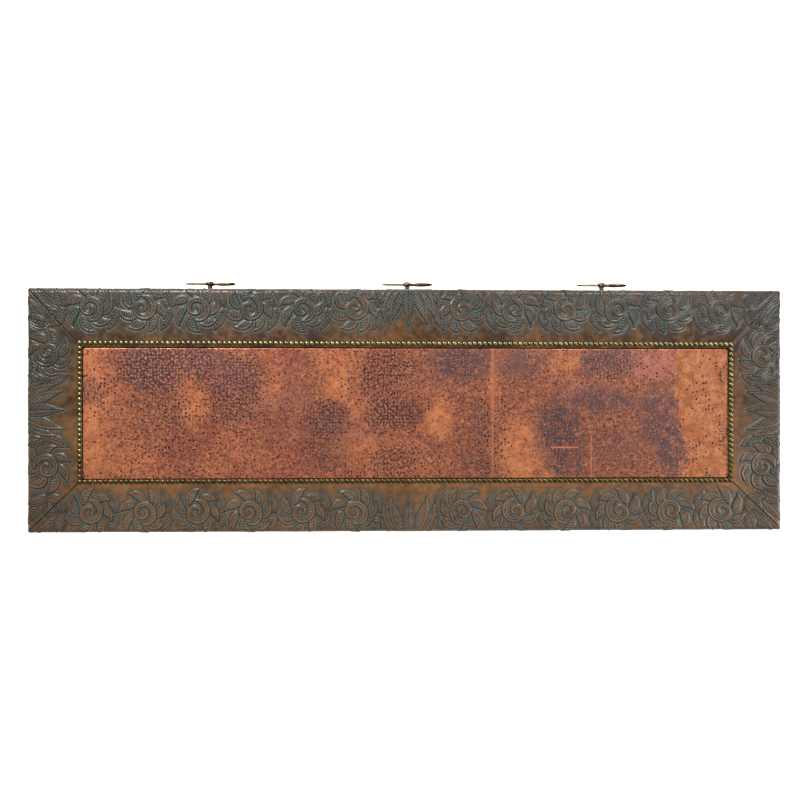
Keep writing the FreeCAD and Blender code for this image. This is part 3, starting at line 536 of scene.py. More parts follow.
half_long = 1000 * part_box("leather_right")[1].x
half_deep = 1000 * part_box("leather_back")[1].y
board_bottom, board_top = 1000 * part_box("top_board")[0].z, 1000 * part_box("top_board")[1].z
face = 1000 * leather_level
print("half sizes of the top in mm:", round(half_long, 1), round(half_deep, 1), "face at", round(face, 1))

# %% [markdown]
# Along the rail, the columns stand closer together near the ends, where the leather is drawn down
# into the mitre seam. The relief pushes each point of the outer face along its normal. The inner face
# lies on the wood and stays plain, with few points, since nobody sees it.

# %% Build a strip
def columns_along(count, half):
    """Places from -1 to 1 along a strip: even, with a few extra ones in the last five millimetres."""
    close = 1 - np.array([0.0, 0.5, 1.1, 1.8, 2.6, 3.6, 4.8]) / half
    even = np.linspace(-close[-1], close[-1], count - 2 * len(close) + 2)[1:-1]
    return np.concatenate([-close, even, close[::-1]])


def rounded_corners(flat, deeper, radius=4.6):
    """Draws in whatever stands outside the rounded corners of the top: a point further than the
    radius from a corner's centre moves straight towards it, onto the circle."""
    past = np.maximum(np.abs(flat) - (np.array([half_long, half_deep]) - radius), 0)
    far = np.linalg.norm(past, axis=-1)
    back = np.minimum(1, (radius - deeper) / np.maximum(far, 1e-9))
    moved = np.abs(flat) - past * (1 - back[..., None])
    return np.sign(flat) * np.where((past.min(-1) > 0)[..., None], moved, np.abs(flat))


def tall_strip(name, rail, direction, inward, base, width, neighbours, leaves, seed, triangles):
    """Carries the strip profile along a rail. A point's place along is t times its row's half length,
    and the row's half length shrinks inwards with the slope of the mitre at each end."""
    step = FINE_STEP if triangles == SHORT_BUDGET else COARSE_STEP
    profile, outer = strip_profile(width, board_bottom, board_top, face, step)
    rows = len(profile)
    direction, inward = np.array(direction, float), np.array(inward, float)
    half = half_long if direction[0] else half_deep
    t = columns_along(int(triangles / 2 / rows), half)
    p, z = profile.T
    low = -(half - MITRE_GAP - neighbours[0] / width * p)
    high = half - MITRE_GAP - neighbours[1] / width * p
    s = low[:, None] + (t[None, :] + 1) / 2 * (high - low)[:, None]
    a = np.broadcast_to(inward_length(profile, face)[:, None], s.shape)
    field = tooled(s[:outer], a[:outer], leaves, width - NAIL_BAND, seed)
    to_seam = np.minimum(s - low[:, None], high[:, None] - s)[:outer]
    field["height"] = (field["height"] * eased(to_seam, 0.5, 4) - 0.9 * np.exp(-to_seam / 1.1)
                       + 0.3 * ridge(to_seam, 3.6, 1.4))
    field["line"] = np.maximum(field["line"], np.exp(-(to_seam / 1.6) ** 2))
    flat_part = eased(profile[:outer, 1], board_bottom + 4, board_bottom + 9) * (p[:outer] < width - 0.9)
    lift = np.zeros_like(s)
    lift[:outer] = field.pop("height") * flat_part[:, None]
    normal = outward_normals(profile)
    p2 = p[:, None] + normal[:, :1] * lift
    z2 = z[:, None] + normal[:, 1:] * lift
    flat = base[None, None, :] + s[..., None] * direction + p2[..., None] * inward
    flat = rounded_corners(flat, np.where(np.arange(rows) < outer, 0.0, 0.6)[:, None])
    points = np.concatenate([flat, z2[..., None]], -1).reshape(-1, 3) / 1000
    faces = [tube_faces(rows, len(t)), (np.arange(rows) * len(t))[None, :],
             (np.arange(rows)[::-1] * len(t) + len(t) - 1)[None, :]]
    stored = {key: np.vstack([v, np.zeros((rows - outer, len(t)))]).ravel() for key, v in field.items()}
    strip = put_in_scene(name, points, facing_out(points, faces), "frame", stored, flat=(1, 2))
    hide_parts(rail)
    return strip


def facing_out(points, faces):
    """Turns all faces over if the volume they close, the sum of one sixth of the triple product of
    each triangle's corners, comes out negative."""
    quads = faces[0]
    a, b, c, d = (points[quads[:, n]] for n in range(4))
    volume = np.einsum("ij,ij->", a, np.cross(b, c)) + np.einsum("ij,ij->", a, np.cross(c, d))
    return faces if volume > 0 else [f[:, ::-1] for f in faces]


# %% Make the four strips
def size_along(node, axis):
    low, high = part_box(node)
    return 1000 * (high[axis] - low[axis])


borders = {"front": size_along("leather_front", 1), "back": size_along("leather_back", 1),
           "side": size_along("leather_right", 0)}
STRIPS = [
    ("front_strip", "leather_front", (1, 0), (0, 1), (0, -half_deep), borders["front"],
     (borders["side"], borders["side"]), LONG_LEAVES, 11, LONG_BUDGET),
    ("right_strip", "leather_right", (0, 1), (-1, 0), (half_long, 0), borders["side"],
     (borders["front"], borders["back"]), SHORT_LEAVES, 21, SHORT_BUDGET),
    ("back_strip", "leather_back", (-1, 0), (0, -1), (0, half_deep), borders["back"],
     (borders["side"], borders["side"]), LONG_LEAVES, 31, LONG_BUDGET),
    ("left_strip", "leather_left", (0, -1), (1, 0), (-half_long, 0), borders["side"],
     (borders["back"], borders["front"]), SHORT_LEAVES, 41, SHORT_BUDGET),
]
strips = {}
for name, rail, direction, inward, base, width, neighbours, leaves, seed, triangles in STRIPS:
    strips[name] = tall_strip(name, rail, direction, inward, np.array(base), width, neighbours,
                              leaves, seed, triangles)
    around = width + (face - board_bottom) + (face - board_top) + HEM
    length = 2 * (half_long if direction[0] else half_deep)
    print(name, triangles_of(strips[name]), "triangles, cut from", round(length), "by", round(around), "mm")

# %% [markdown]
# ## The leather finish
#
# The leather is brown, darker at the front and lighter and warmer at the back.
# A blue-green wash was wiped over it and stayed in the hollows. The veins are drawn here from the
# phase kept at the points: a cosine of it gives one ridge per cycle, and the same cosine drives the
# colour and the bump, so the colour always sits in the valley. A sine of it paints shade on one flank
# of each vein.

# %% Leather material
def paint(red, green, blue):
    """A colour given in the usual 0 to 255 steps, as the linear light that the nodes work in."""
    step = np.array([red, green, blue]) / 255
    return tuple(float(v) for v in np.where(step <= 0.04045, step / 12.92, ((step + 0.055) / 1.055) ** 2.4))


def leather_finish():
    skin = Finish("tooled_leather")
    where = skin.place()
    wash, vein, line, rim = (skin.stored(key) for key in ("wash", "vein", "line", "rim"))
    phase = skin.stored("phase")
    split = skin.node("SeparateXYZ", {"Vector": where})
    x, y = split.outputs["X"], split.outputs["Y"]
    cloudy = skin.noise(where, 13, 4, 0.6)
    fine = skin.noise(where, 75, 4, 0.65)
    grain = skin.noise(where, 900, 2, 0.6)
    warm = skin.sum("ADD", skin.spread(y, -0.24, 0.2, 0.12, 0.62),
                    skin.spread(cloudy, 0.32, 0.68, -0.2, 0.26))
    warm = skin.sum("ADD", warm, skin.spread(fine, 0.3, 0.75, -0.2, 0.24))
    warm = skin.sum("MINIMUM", skin.sum("MAXIMUM", warm, 0.0), 1.0)
    hide = skin.mix(warm, paint(56, 37, 21), paint(138, 95, 56))
    hide = skin.mix(skin.times(rim, 0.38), hide, paint(122, 108, 86))
    turn = skin.times(phase, 2 * math.pi)
    wave = skin.sum("COSINE", turn)
    # Painted shade: a sine of the phase darkens one flank of each vein, as if its ridge shaded it.
    shaded_flank = skin.times(vein, skin.spread(skin.sum("SINE", turn), 0.0, 0.8))
    valley = skin.times(vein, skin.spread(wave, 0.35, -0.6))
    patchy = skin.spread(skin.noise(where, 26, 3, 0.6), 0.3, 0.6, 0.5, 1.0)
    settled = skin.times(patchy, wash)
    ground = skin.mix(fine, paint(42, 49, 45), paint(78, 88, 78))
    coloured = skin.mix(skin.times(settled, 0.85), hide, ground)
    coloured = skin.mix(skin.times(shaded_flank, 0.75), coloured, paint(58, 30, 24))
    bright_wash = skin.mix(fine, paint(46, 74, 78), paint(94, 122, 120))
    coloured = skin.mix(skin.times(valley, 0.9), coloured, bright_wash)
    outline_wash = skin.spread(wash, 0.68, 0.92)
    coloured = skin.mix(skin.times(outline_wash, 0.75), coloured, bright_wash)
    dark = skin.mix(skin.times(line, 0.94), coloured, paint(28, 18, 14))
    towards_end = skin.spread(skin.sum("ABSOLUTE", x), 0.70, 0.80, 0.0, 0.3)
    dark = skin.mix(towards_end, dark, paint(42, 30, 18))
    pores = skin.spread(grain, 0.35, 0.65)
    finished = skin.mix(skin.times(pores, 0.15), dark, paint(40, 24, 14))
    veins_up = skin.times(vein, skin.sum("MULTIPLY_ADD", wave, 0.5, 0.5))
    raised = skin.bump(veins_up, 0.0012, 1.0)
    creased = skin.bump(skin.noise(where, 230, 4, 0.6), 0.0005, 0.6, raised)
    pored = skin.bump(grain, 0.00015, 0.5, creased)
    rough = skin.spread(fine, 0.25, 0.75, 0.36, 0.5)
    skin.shade(Base_Color=finished, Roughness=rough, Normal=pored, Specular_IOR_Level=0.2,
               Coat_Weight=0.3, Coat_Roughness=0.22)
    return skin.material


leather = leather_finish()
for strip in strips.values():
    strip.data.materials.append(leather)
print("leather nodes:", len(leather.node_tree.nodes))

# %% [markdown]
# ## Copper
#
# A copper sheet is heated with a torch and colours in clouds: orange and salmon where it stayed
# clean, mauve and slate where it got hottest. Salt or sawdust leaves dark spots. The clouds are
# ellipses whose coordinates are shaken by noise, so their edges turn ragged. The spots are cells of
# a Voronoi pattern, and a map says where they are dense.

# %% Copper material
SLATE_CLOUDS = [  # x, y, half length, half depth in metres, strength
    (0.56, -0.098, 0.075, 0.048, 0.4), (0.458, -0.112, 0.045, 0.036, 0.55),
    (0.385, -0.07, 0.065, 0.036, 0.45), (0.365, -0.005, 0.05, 0.03, 0.3), (0.3, 0.04, 0.06, 0.06, 0.35),
    (0.19, 0.075, 0.055, 0.05, 0.4), (0.185, 0.012, 0.04, 0.035, 0.45), (0.245, -0.06, 0.04, 0.06, 0.3),
    (-0.118, -0.104, 0.08, 0.044, 1), (-0.25, -0.104, 0.055, 0.032, 0.8),
    (-0.44, -0.108, 0.06, 0.032, 0.95), (-0.33, 0.045, 0.052, 0.07, 1), (-0.352, 0.115, 0.045, 0.04, 1),
    (-0.43, -0.022, 0.08, 0.03, 0.95), (-0.56, 0.01, 0.05, 0.07, 0.9), (-0.585, 0.09, 0.036, 0.06, 1),
    (-0.47, 0.08, 0.08, 0.05, 0.45), (-0.17, 0.04, 0.03, 0.06, 0.45), (-0.16, 0.118, 0.05, 0.028, 0.5),
    (0.7, -0.04, 0.022, 0.028, 0.45),
]
CLEAN_CLOUDS = [
    (0.69, 0.02, 0.04, 0.14, 1), (0.64, 0.06, 0.08, 0.09, 0.55), (0.47, -0.01, 0.028, 0.048, 0.9),
    (0.308, -0.03, 0.03, 0.03, 0.8), (0.155, -0.07, 0.045, 0.055, 0.8), (0.12, 0.08, 0.06, 0.035, 0.75),
    (0.11, 0.01, 0.035, 0.04, 0.5), (-0.064, 0.02, 0.032, 0.04, 0.95), (-0.19, -0.05, 0.01, 0.09, 0.6),
    (-0.255, 0.1, 0.062, 0.075, 1), (-0.3, 0.135, 0.06, 0.03, 0.9), (-0.35, -0.105, 0.04, 0.03, 0.7),
    (-0.555, -0.1, 0.055, 0.03, 0.85), (-0.52, 0.03, 0.03, 0.006, 0.6), (0.03, 0.12, 0.1, 0.025, 0.35),
    (-0.01, -0.03, 0.05, 0.03, 0.3),
]
SPOT_CLOUDS = [
    (0.56, -0.095, 0.085, 0.06, 1), (0.54, 0, 0.07, 0.045, 0.75), (0.47, -0.11, 0.06, 0.045, 1),
    (0.39, -0.04, 0.075, 0.085, 0.9), (0.53, 0.075, 0.11, 0.035, 0.45), (0.69, -0.04, 0.045, 0.05, 0.7),
    (0.185, 0.02, 0.05, 0.05, 0.8), (0.05, -0.09, 0.085, 0.055, 0.85), (0.03, 0, 0.065, 0.045, 1),
    (0.03, 0.11, 0.06, 0.04, 0.75), (0.09, 0.135, 0.06, 0.02, 0.7), (0.64, 0.145, 0.06, 0.02, 0.5),
    (-0.655, 0, 0.04, 0.11, 0.35), (-0.18, 0.06, 0.04, 0.08, 0.6), (-0.45, -0.1, 0.06, 0.04, 0.6),
]
COMB_CLOUDS = [
    (0.56, -0.095, 0.085, 0.052, 1), (0.46, -0.105, 0.05, 0.045, 0.85), (0.385, -0.05, 0.065, 0.075, 0.75),
    (0.7, -0.04, 0.032, 0.035, 0.6), (0.53, 0.01, 0.06, 0.035, 0.35), (0.185, 0.02, 0.045, 0.05, 0.7),
    (0.05, -0.085, 0.07, 0.05, 0.7), (0.028, 0.002, 0.062, 0.038, 0.95), (0.03, 0.115, 0.05, 0.03, 0.7),
    (-0.335, 0.06, 0.055, 0.08, 0.5), (0.18, 0.09, 0.06, 0.04, 0.45), (-0.44, -0.1, 0.06, 0.03, 0.5),
    (-0.708, -0.082, 0.008, 0.026, 1), (-0.708, 0.064, 0.008, 0.045, 0.9), (0.6, 0.02, 0.07, 0.06, 0.5),
]
PINK_CLOUDS = [
    (-0.54, -0.102, 0.07, 0.034, 0.9), (-0.385, -0.05, 0.045, 0.022, 0.5), (0.4, -0.095, 0.045, 0.025, 0.4),
    (0.285, -0.025, 0.05, 0.02, 0.5), (-0.24, -0.115, 0.05, 0.022, 0.45), (0.1, 0.045, 0.06, 0.03, 0.4),
]


def copper_finish():
    sheet = Finish("flame_copper")
    where = sheet.place()
    shake = sheet.node("TexNoise", {"Vector": where, "Scale": 26.0, "Detail": 5.0, "Roughness": 0.65})
    offset = sheet.node("VectorMath", {0: shake.outputs["Color"], 1: (0.5, 0.5, 0.5)}, operation="SUBTRACT")
    offset = sheet.node("VectorMath", {0: offset.outputs[0], "Scale": 0.075}, operation="SCALE")
    ragged = sheet.node("VectorMath", {0: where, 1: offset.outputs[0]}, operation="ADD").outputs[0]
    little = sheet.node("VectorMath", {0: offset.outputs[0], "Scale": 0.06}, operation="SCALE").outputs[0]
    wavering = sheet.node("VectorMath", {0: where, 1: little}, operation="ADD").outputs[0]

    def clouds(listed, soft, source):
        """The strongest of the listed ellipses at each place."""
        best = 0.0
        for x, y, wide, deep, strength in listed:
            shift = sheet.node("VectorMath", {0: source, 1: (x, y, leather_level)}, operation="SUBTRACT")
            shift = sheet.node("VectorMath", {0: shift.outputs[0], 1: (1 / wide, 1 / deep, 1)},
                               operation="MULTIPLY")
            far = sheet.node("VectorMath", {0: shift.outputs[0]}, operation="LENGTH").outputs["Value"]
            best = sheet.sum("MAXIMUM", best, sheet.spread(far, 1 + soft, 1 - soft, 0.0, strength))
        return best

    slate_area = clouds(SLATE_CLOUDS, 0.4, ragged)
    clean_area = clouds(CLEAN_CLOUDS, 0.65, ragged)
    spot_area = clouds(SPOT_CLOUDS, 0.5, where)
    split = sheet.node("SeparateXYZ", {"Vector": ragged})
    x, y = split.outputs["X"], split.outputs["Y"]
    broad = sheet.noise(where, 11, 5, 0.62)
    middle = sheet.noise(where, 55, 4, 0.65)
    speck = sheet.noise(where, 175, 4, 0.8)
    tiny = sheet.noise(where, 270, 3, 0.78)
    clean_area = sheet.times(clean_area, sheet.spread(middle, 0.32, 0.56, 0.35, 1.0))

    tone = sheet.mix(sheet.spread(broad, 0.36, 0.64), paint(166, 90, 66), paint(208, 122, 78))
    redder = sheet.spread(sheet.noise(where, 17, 3, 0.6), 0.45, 0.7)
    tone = sheet.mix(sheet.times(redder, 0.55), tone, paint(186, 88, 62))
    hot_side = sheet.times(sheet.spread(x, 0.10, -0.16), sheet.spread(x, -0.612, -0.598))
    tone = sheet.mix(sheet.times(hot_side, 0.75), tone, paint(156, 92, 65))
    mottle = sheet.spread(sheet.noise(where, 95, 4, 0.7), 0.46, 0.6, 0.0, 0.6)
    tone = sheet.mix(mottle, tone, paint(122, 72, 62))
    lighter = sheet.spread(sheet.noise(where, 120, 4, 0.75), 0.5, 0.62, 0.0, 0.55)
    tone = sheet.mix(lighter, tone, paint(228, 150, 104))
    tone = sheet.mix(clean_area, tone, sheet.mix(middle, paint(206, 114, 72), paint(230, 150, 96)))
    pink_area = clouds(PINK_CLOUDS, 0.6, ragged)
    tone = sheet.mix(pink_area, tone, sheet.mix(middle, paint(150, 88, 78), paint(196, 128, 104)))
    edge_x = sheet.sum("ADD", x, sheet.spread(y, -0.04, 0.11, 0.0, 0.032))
    end_strip = sheet.spread(edge_x, -0.592, -0.600)
    strip_tone = sheet.mix(sheet.spread(middle, 0.35, 0.65), paint(176, 100, 58), paint(196, 128, 84))
    tone = sheet.mix(end_strip, tone, strip_tone)
    slate = sheet.mix(sheet.spread(speck, 0.42, 0.6), paint(54, 49, 58), paint(134, 82, 64))
    slate_share = sheet.times(slate_area, sheet.spread(middle, 0.4, 0.52, 0.4, 1.0))
    slate_share = sheet.times(slate_share, sheet.spread(end_strip, 0, 1, 1.0, 0.0))
    tone = sheet.mix(slate_share, tone, slate)
    grit = sheet.spread(speck, 0.5, 0.58, 0.0, 0.95)
    calm = sheet.sum("MAXIMUM", clean_area, end_strip)
    tone = sheet.mix(sheet.times(grit, sheet.spread(calm, 0, 1, 1.0, 0.4)), tone, paint(84, 54, 58))
    glint = sheet.spread(tiny, 0.56, 0.65, 0.0, 0.6)
    tone = sheet.mix(glint, tone, paint(222, 150, 104))

    cells = sheet.node("TexVoronoi", {"Vector": wavering, "Scale": 135.0, "Randomness": 0.92}, feature="F1",
                       voronoi_dimensions="2D")
    own = sheet.node("SeparateColor", {"Color": cells.outputs["Color"]})
    size = sheet.sum("MULTIPLY_ADD", own.outputs[1], 0.22, 0.12)
    round_spot = sheet.spread(sheet.sum("SUBTRACT", cells.outputs["Distance"], size), 0.09, 0.0)
    dense = sheet.sum("ADD", sheet.times(spot_area, 0.8), sheet.spread(broad, 0.5, 0.7, 0.02, 0.2))
    chosen = sheet.sum("LESS_THAN", own.outputs[0], dense)
    off_halo = sheet.sum("ABSOLUTE", sheet.sum("SUBTRACT", cells.outputs["Distance"], 0.46))
    halo = sheet.times(sheet.spread(off_halo, 0.09, 0.0), chosen)
    tone = sheet.mix(sheet.times(halo, 0.35), tone, paint(224, 140, 88))
    spots = sheet.times(round_spot, chosen)
    tone = sheet.mix(sheet.times(spots, 0.92), tone, paint(50, 38, 50))
    comb = sheet.node("TexVoronoi", {"Vector": wavering, "Scale": 142.0, "Randomness": 0.7}, feature="F1",
                      voronoi_dimensions="2D")
    gaps = sheet.spread(comb.outputs["Distance"], 0.3, 0.44)
    comb_area = clouds(COMB_CLOUDS, 0.55, ragged)
    cell_middle = sheet.spread(comb.outputs["Distance"], 0.26, 0.1, 0.0, 0.55)
    cell_middle = sheet.times(cell_middle, comb_area)
    tone = sheet.mix(cell_middle, tone, paint(216, 130, 90))
    gaps = sheet.times(gaps, comb_area)
    tone = sheet.mix(sheet.times(gaps, 0.8), tone, paint(56, 48, 56))
    plain = sheet.node("SeparateXYZ", {"Vector": wavering})
    px, py = plain.outputs["X"], plain.outputs["Y"]
    scratch_x = sheet.times(sheet.spread(px, -0.314, -0.318), sheet.spread(px, -0.380, -0.376))
    off_line = sheet.sum("ABSOLUTE", sheet.sum("SUBTRACT", py, 0.0825))
    scratch = sheet.times(scratch_x, sheet.spread(off_line, 0.0018, 0.0008))
    seam_y = sheet.times(sheet.spread(py, 0.052, 0.058), sheet.spread(speck, 0.42, 0.55, 0.2, 1.0))
    seam_x = sheet.sum("ABSOLUTE", sheet.sum("ADD", px, 0.407))
    short_seam = sheet.times(seam_y, sheet.spread(seam_x, 0.0022, 0.001))
    scratch = sheet.sum("MAXIMUM", scratch, short_seam)
    seam_x = sheet.sum("ABSOLUTE", sheet.sum("ADD", px, 0.186))
    scratch = sheet.sum("MAXIMUM", scratch, sheet.times(sheet.spread(seam_x, 0.0045, 0.001), 0.5))
    tone = sheet.mix(sheet.times(scratch, 0.75), tone, paint(228, 132, 86))
    beaten = sheet.bump(sheet.noise(where, 14, 3, 0.5), 0.0022, 0.6)
    pitted = sheet.bump(sheet.sum("SUBTRACT", speck, sheet.times(spots, 0.5)), 0.0003, 0.5, beaten)
    rough = sheet.sum("ADD", sheet.spread(slate_area, 0, 1, 0.36, 0.52),
                      sheet.spread(middle, 0.3, 0.7, -0.05, 0.06))
    sheet.shade(Base_Color=tone, Metallic=0.55, Roughness=rough, Normal=pitted, Coat_Weight=0.12,
                Coat_Roughness=0.25)
    return sheet.material


def dress(material, *names):
    """Gives a carried-over part its finish."""
    for name in names:
        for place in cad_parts[name].material_slots:
            place.material = material


copper = copper_finish()
dress(copper, "copper_panel")
print("copper nodes:", len(copper.node_tree.nodes))

# %% [markdown]
# ## Brass nails
#
# A dome nail is pressed from thin brass, so its head is a shallow dome with a rounded rim. Only the
# heads show. There are hundreds, so a head has few faces: rings of ten points turned round an axis.
# Their places come from the frame's own nails, whose highest points are the tips of the domes. No
# hammer drives them all upright, so each is tilted a little.

# %% Find the nails
def dome_tips(node, axis, sign):
    """The points of a node that stand out furthest along an axis, one for each nail."""
    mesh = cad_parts[node].data
    points = np.empty(len(mesh.vertices) * 3, np.float32)
    mesh.vertices.foreach_get("co", points)
    points = points.reshape(-1, 3)
    level = points[:, axis] * sign
    tips = points[level > level.max() - 0.00002]
    return np.unique(np.round(tips, 4), axis=0)


top_tips = dome_tips("top_nails", 2, 1)
print("nails in the top:", len(top_tips), "and in a drawer:", len(dome_tips("drawer_left_nails", 1, -1)))

# %% Make the heads
HEAD_RADIUS, HEAD_RISE = 0.00555, 0.0032
RING_POINTS = 10
DOME = np.array([[0.0, 1.0], [0.42, 0.90], [0.74, 0.64], [0.95, 0.30], [1.0, 0.08], [0.93, -0.12]])
RING_SHADE = [0.05, 0.4, 1.0, 1.0, 1.0]      # how much painted shade each ring of a head gets


def nail_heads(name, node, body, tips, outward, around, seed):
    """A head is the dome's rings: ring n is a circle with DOME's share of the radius at DOME's share
    of the rise. It is tilted by a small turn, then moved so that its rim lies on the leather."""
    rng = np.random.default_rng(seed)
    outward, around = np.array(outward, float), np.array(around, float)
    third = np.cross(outward, around)
    spin = np.arange(RING_POINTS) / RING_POINTS * 2 * np.pi
    ring = np.cos(spin)[:, None] * around + np.sin(spin)[:, None] * third
    rings = DOME[1:, 0, None, None] * HEAD_RADIUS * ring + DOME[1:, 1, None, None] * HEAD_RISE * outward
    head = np.vstack([[outward * HEAD_RISE], rings.reshape(-1, 3)])
    tilt = rng.normal(0, 0.03, (len(tips), 2))
    lean = tilt[:, :1] * around + tilt[:, 1:] * third
    along = head @ outward
    points = head[None] + along[None, :, None] * lean[:, None, :]
    points = points - (head @ lean.T).T[..., None] * outward
    points = points + (tips - outward * HEAD_RISE)[:, None, :] + rng.normal(0, 0.00012, (len(tips), 1, 3))
    count = len(head)
    turn = np.arange(RING_POINTS)
    fan = np.stack([0 * turn, 1 + turn, 1 + (turn + 1) % RING_POINTS], -1)
    side = tube_faces(len(DOME) - 1, RING_POINTS, round_rows=False, round_columns=True, first=1)[:, ::-1]
    under = (count - RING_POINTS + turn)[::-1][None, :]
    if np.linalg.det(np.stack([around, third, outward])) < 0:
        fan, side, under = fan[:, ::-1], side[:, ::-1], under[:, ::-1]
    starts = (np.arange(len(tips)) * count)[:, None, None]
    faces = [(f[None] + starts).reshape(-1, f.shape[1]) for f in (fan, side, under)]
    # Painted shade: the outer rings of each head are darkened almost to black, so only the crown stays
    # bright.
    rim = np.tile(np.concatenate([[0.0], np.repeat(RING_SHADE, RING_POINTS)]), len(tips))
    # A random darker tone for each nail, plus painted shade on the nails at the back of the top.
    shade = np.repeat(rng.uniform(0, 1, len(tips)) + 1.8 * (tips[:, 1] > 0.1), count)
    heads = put_in_scene(name, points.reshape(-1, 3), faces, body, {"rim": rim, "shade": shade}, flat=(2,))
    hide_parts(node)
    return heads


nails = [nail_heads("top_nail_heads", "top_nails", "frame", top_tips, (0, 0, 1), (1, 0, 0), 5)]
for n, side in enumerate(DRAWERS):
    node = f"drawer_{side}_nails"
    nails.append(nail_heads(f"drawer_{side}_nail_heads", node, f"drawer_{side}", dome_tips(node, 1, -1),
                            (0, -1, 0), (1, 0, 0), 60 + n))
FACES_PER_HEAD = RING_POINTS * (len(DOME) - 1) + 1
print("nail heads:", [len(heads.data.polygons) // FACES_PER_HEAD for heads in nails])

# %% Antique brass
def brass_finish(name, bright, middle_tone, dark, rim_share, roughness, worn=0.6):
    """Brass with small brown patches. rim_share says how much the stored rim darkens it: on a nail head
    that is painted shade down the sides of the dome, on a pull it darkens the tips, the post and the
    roots of the boss. The stored shade gives each nail a random darker tone, with painted shade added on
    the nails at the back of the top. worn says how strong the small brown patches are."""
    metal = Finish(name)
    where = metal.place()
    cloud = metal.noise(where, 45, 4, 0.6)
    fine = metal.noise(where, 260, 3, 0.65)
    tone = metal.mix(metal.spread(cloud, 0.35, 0.65), middle_tone, bright)
    tone = metal.mix(metal.spread(fine, 0.52, 0.7, 0.0, worn), tone, dark)
    # The stored rim paints shade on the nail heads; on a pull it darkens the tips, the post and the roots of
    # the boss.
    tone = metal.mix(metal.times(metal.stored("rim"), rim_share), tone, dark)
    # The stored shade: a random tone, plus painted shade on the back nails.
    tone = metal.mix(metal.times(metal.stored("shade"), 0.25), tone, dark)
    uneven = metal.bump(fine, 0.0003 * worn, 0.4)
    rough = metal.spread(cloud, 0.3, 0.7, roughness, roughness + 0.14)
    metal.shade(Base_Color=tone, Metallic=1.0, Roughness=rough, Normal=uneven)
    return metal.material


nail_brass = brass_finish("nail_brass", paint(168, 158, 108), paint(136, 125, 78), paint(22, 16, 9),
                          rim_share=0.97, roughness=0.3, worn=0.1)
for heads in nails:
    heads.data.materials.append(nail_brass)
print("nail brass nodes:", len(nail_brass.node_tree.nodes))

# %% [markdown]
# ## Drawer pulls
#
# Each drawer has a forged pull: a flat bar, twisted about its length and drawn out to rounded tips,
# with a hammered boss in the middle. A short post holds it off a round plate on the leather. The bar
# is a ring of points carried along a line. The ring is a flat oval that turns as it goes and shrinks
# towards the tips.

# %% Twisted bar
def closed_bar(centres, across, up, wide, thick, turn):
    """Rings of an oval: at each station, cos times wide along across plus sin times thick along up,
    the whole turned by the station's angle."""
    angle = np.arange(20) / 20 * 2 * np.pi
    c, s = np.cos(turn)[:, None], np.sin(turn)[:, None]
    u = wide[:, None] * np.cos(angle)[None]
    v = thick[:, None] * np.sin(angle)[None]
    first = (u * c - v * s)[..., None] * np.array(across)
    second = (u * s + v * c)[..., None] * np.array(up)
    return centres[:, None, :] + first + second


def pull_bar(centre, half_length):
    """Half width along the bar: full near the middle, a slight waist beside the boss, and the root of
    one minus the tenth power of the share of the half length at the tips, so they end round."""
    t = np.sin(np.linspace(-1, 1, 61) * np.pi / 2)
    x = t * half_length
    round_end = np.sqrt(np.clip(1 - np.abs(t) ** 10, 0, 1)) + 0.02
    waist = 0.0014 * np.exp(-((np.abs(x) - 0.012) / 0.009) ** 2)
    wide = (0.0048 - waist - 0.0012 * np.abs(t) ** 3) * round_end
    thick = (0.0027 - 0.0006 * np.abs(t) ** 2) * round_end
    turn = 0.35 + 1.3 * t + 0.35 * np.sin(6 * t)
    centres = np.array(centre) + np.stack([x, 0 * x, 0.0007 * np.sin(4 * t)], -1)
    return closed_bar(centres, (0, 1, 0), (0, 0, 1), wide, thick, turn)


def boss_lump(centre, radii, seed):
    """A hammered lump: a ball cut back by flat facets in sixteen random directions. A facet's radius
    is the distance of its plane over the cosine to its own direction."""
    rng = np.random.default_rng(seed)
    down = np.linspace(0, np.pi, 15)[:, None]
    round_it = np.arange(24)[None] / 24 * 2 * np.pi
    ray = np.stack([np.sin(down) * np.cos(round_it), np.sin(down) * np.sin(round_it),
                    np.cos(down) + 0 * round_it], -1)
    facets = rng.normal(0, 1, (16, 3))
    facets /= np.linalg.norm(facets, axis=1, keepdims=True)
    facing = np.clip(ray @ facets.T, 0.05, None)
    reach = np.minimum(1.0, (0.87 / facing).min(-1))
    return np.array(centre) + ray * reach[..., None] * np.array(radii)


def turned_part(centre, stations):
    """Rings about the -Y axis: each station gives the distance in front of centre and the radius."""
    angle = np.arange(28) / 28 * 2 * np.pi
    d, r = np.array(stations).T
    ring = np.stack([np.cos(angle), 0 * angle, np.sin(angle)], -1)
    return np.array(centre) + r[:, None, None] * ring - d[:, None, None] * np.array((0, 1, 0))


def join_grids(name, grids, body, stored):
    """Several grids, each with round columns, as one mesh; the ends of each are closed by a face."""
    points, sides, caps, count = [], [], [], 0
    for grid in grids:
        rows, columns = grid.shape[:2]
        quads = tube_faces(rows, columns, round_rows=False, round_columns=True, first=count)
        ends = [count + np.arange(columns)[::-1], count + (rows - 1) * columns + np.arange(columns)]
        flat = grid.reshape(-1, 3)
        a, b, c, d = (flat[quads[:, n] - count] for n in range(4))
        centre = flat.mean(0)
        volume = (np.einsum("ij,ij->", a - centre, np.cross(b - centre, c - centre))
                  + np.einsum("ij,ij->", a - centre, np.cross(c - centre, d - centre)))
        if volume < 0:
            quads, ends = quads[:, ::-1], [e[::-1] for e in ends]
        sides.append(quads)
        caps.append((columns, ends))
        points.append(flat)
        count += len(flat)
    groups = [np.vstack(sides)]
    for columns in sorted({c for c, _ in caps}):
        groups.append(np.vstack([np.vstack(e) for c, e in caps if c == columns]))
    return put_in_scene(name, np.vstack(points), groups, body, stored(np.vstack(points)),
                        flat=tuple(range(1, len(groups))))


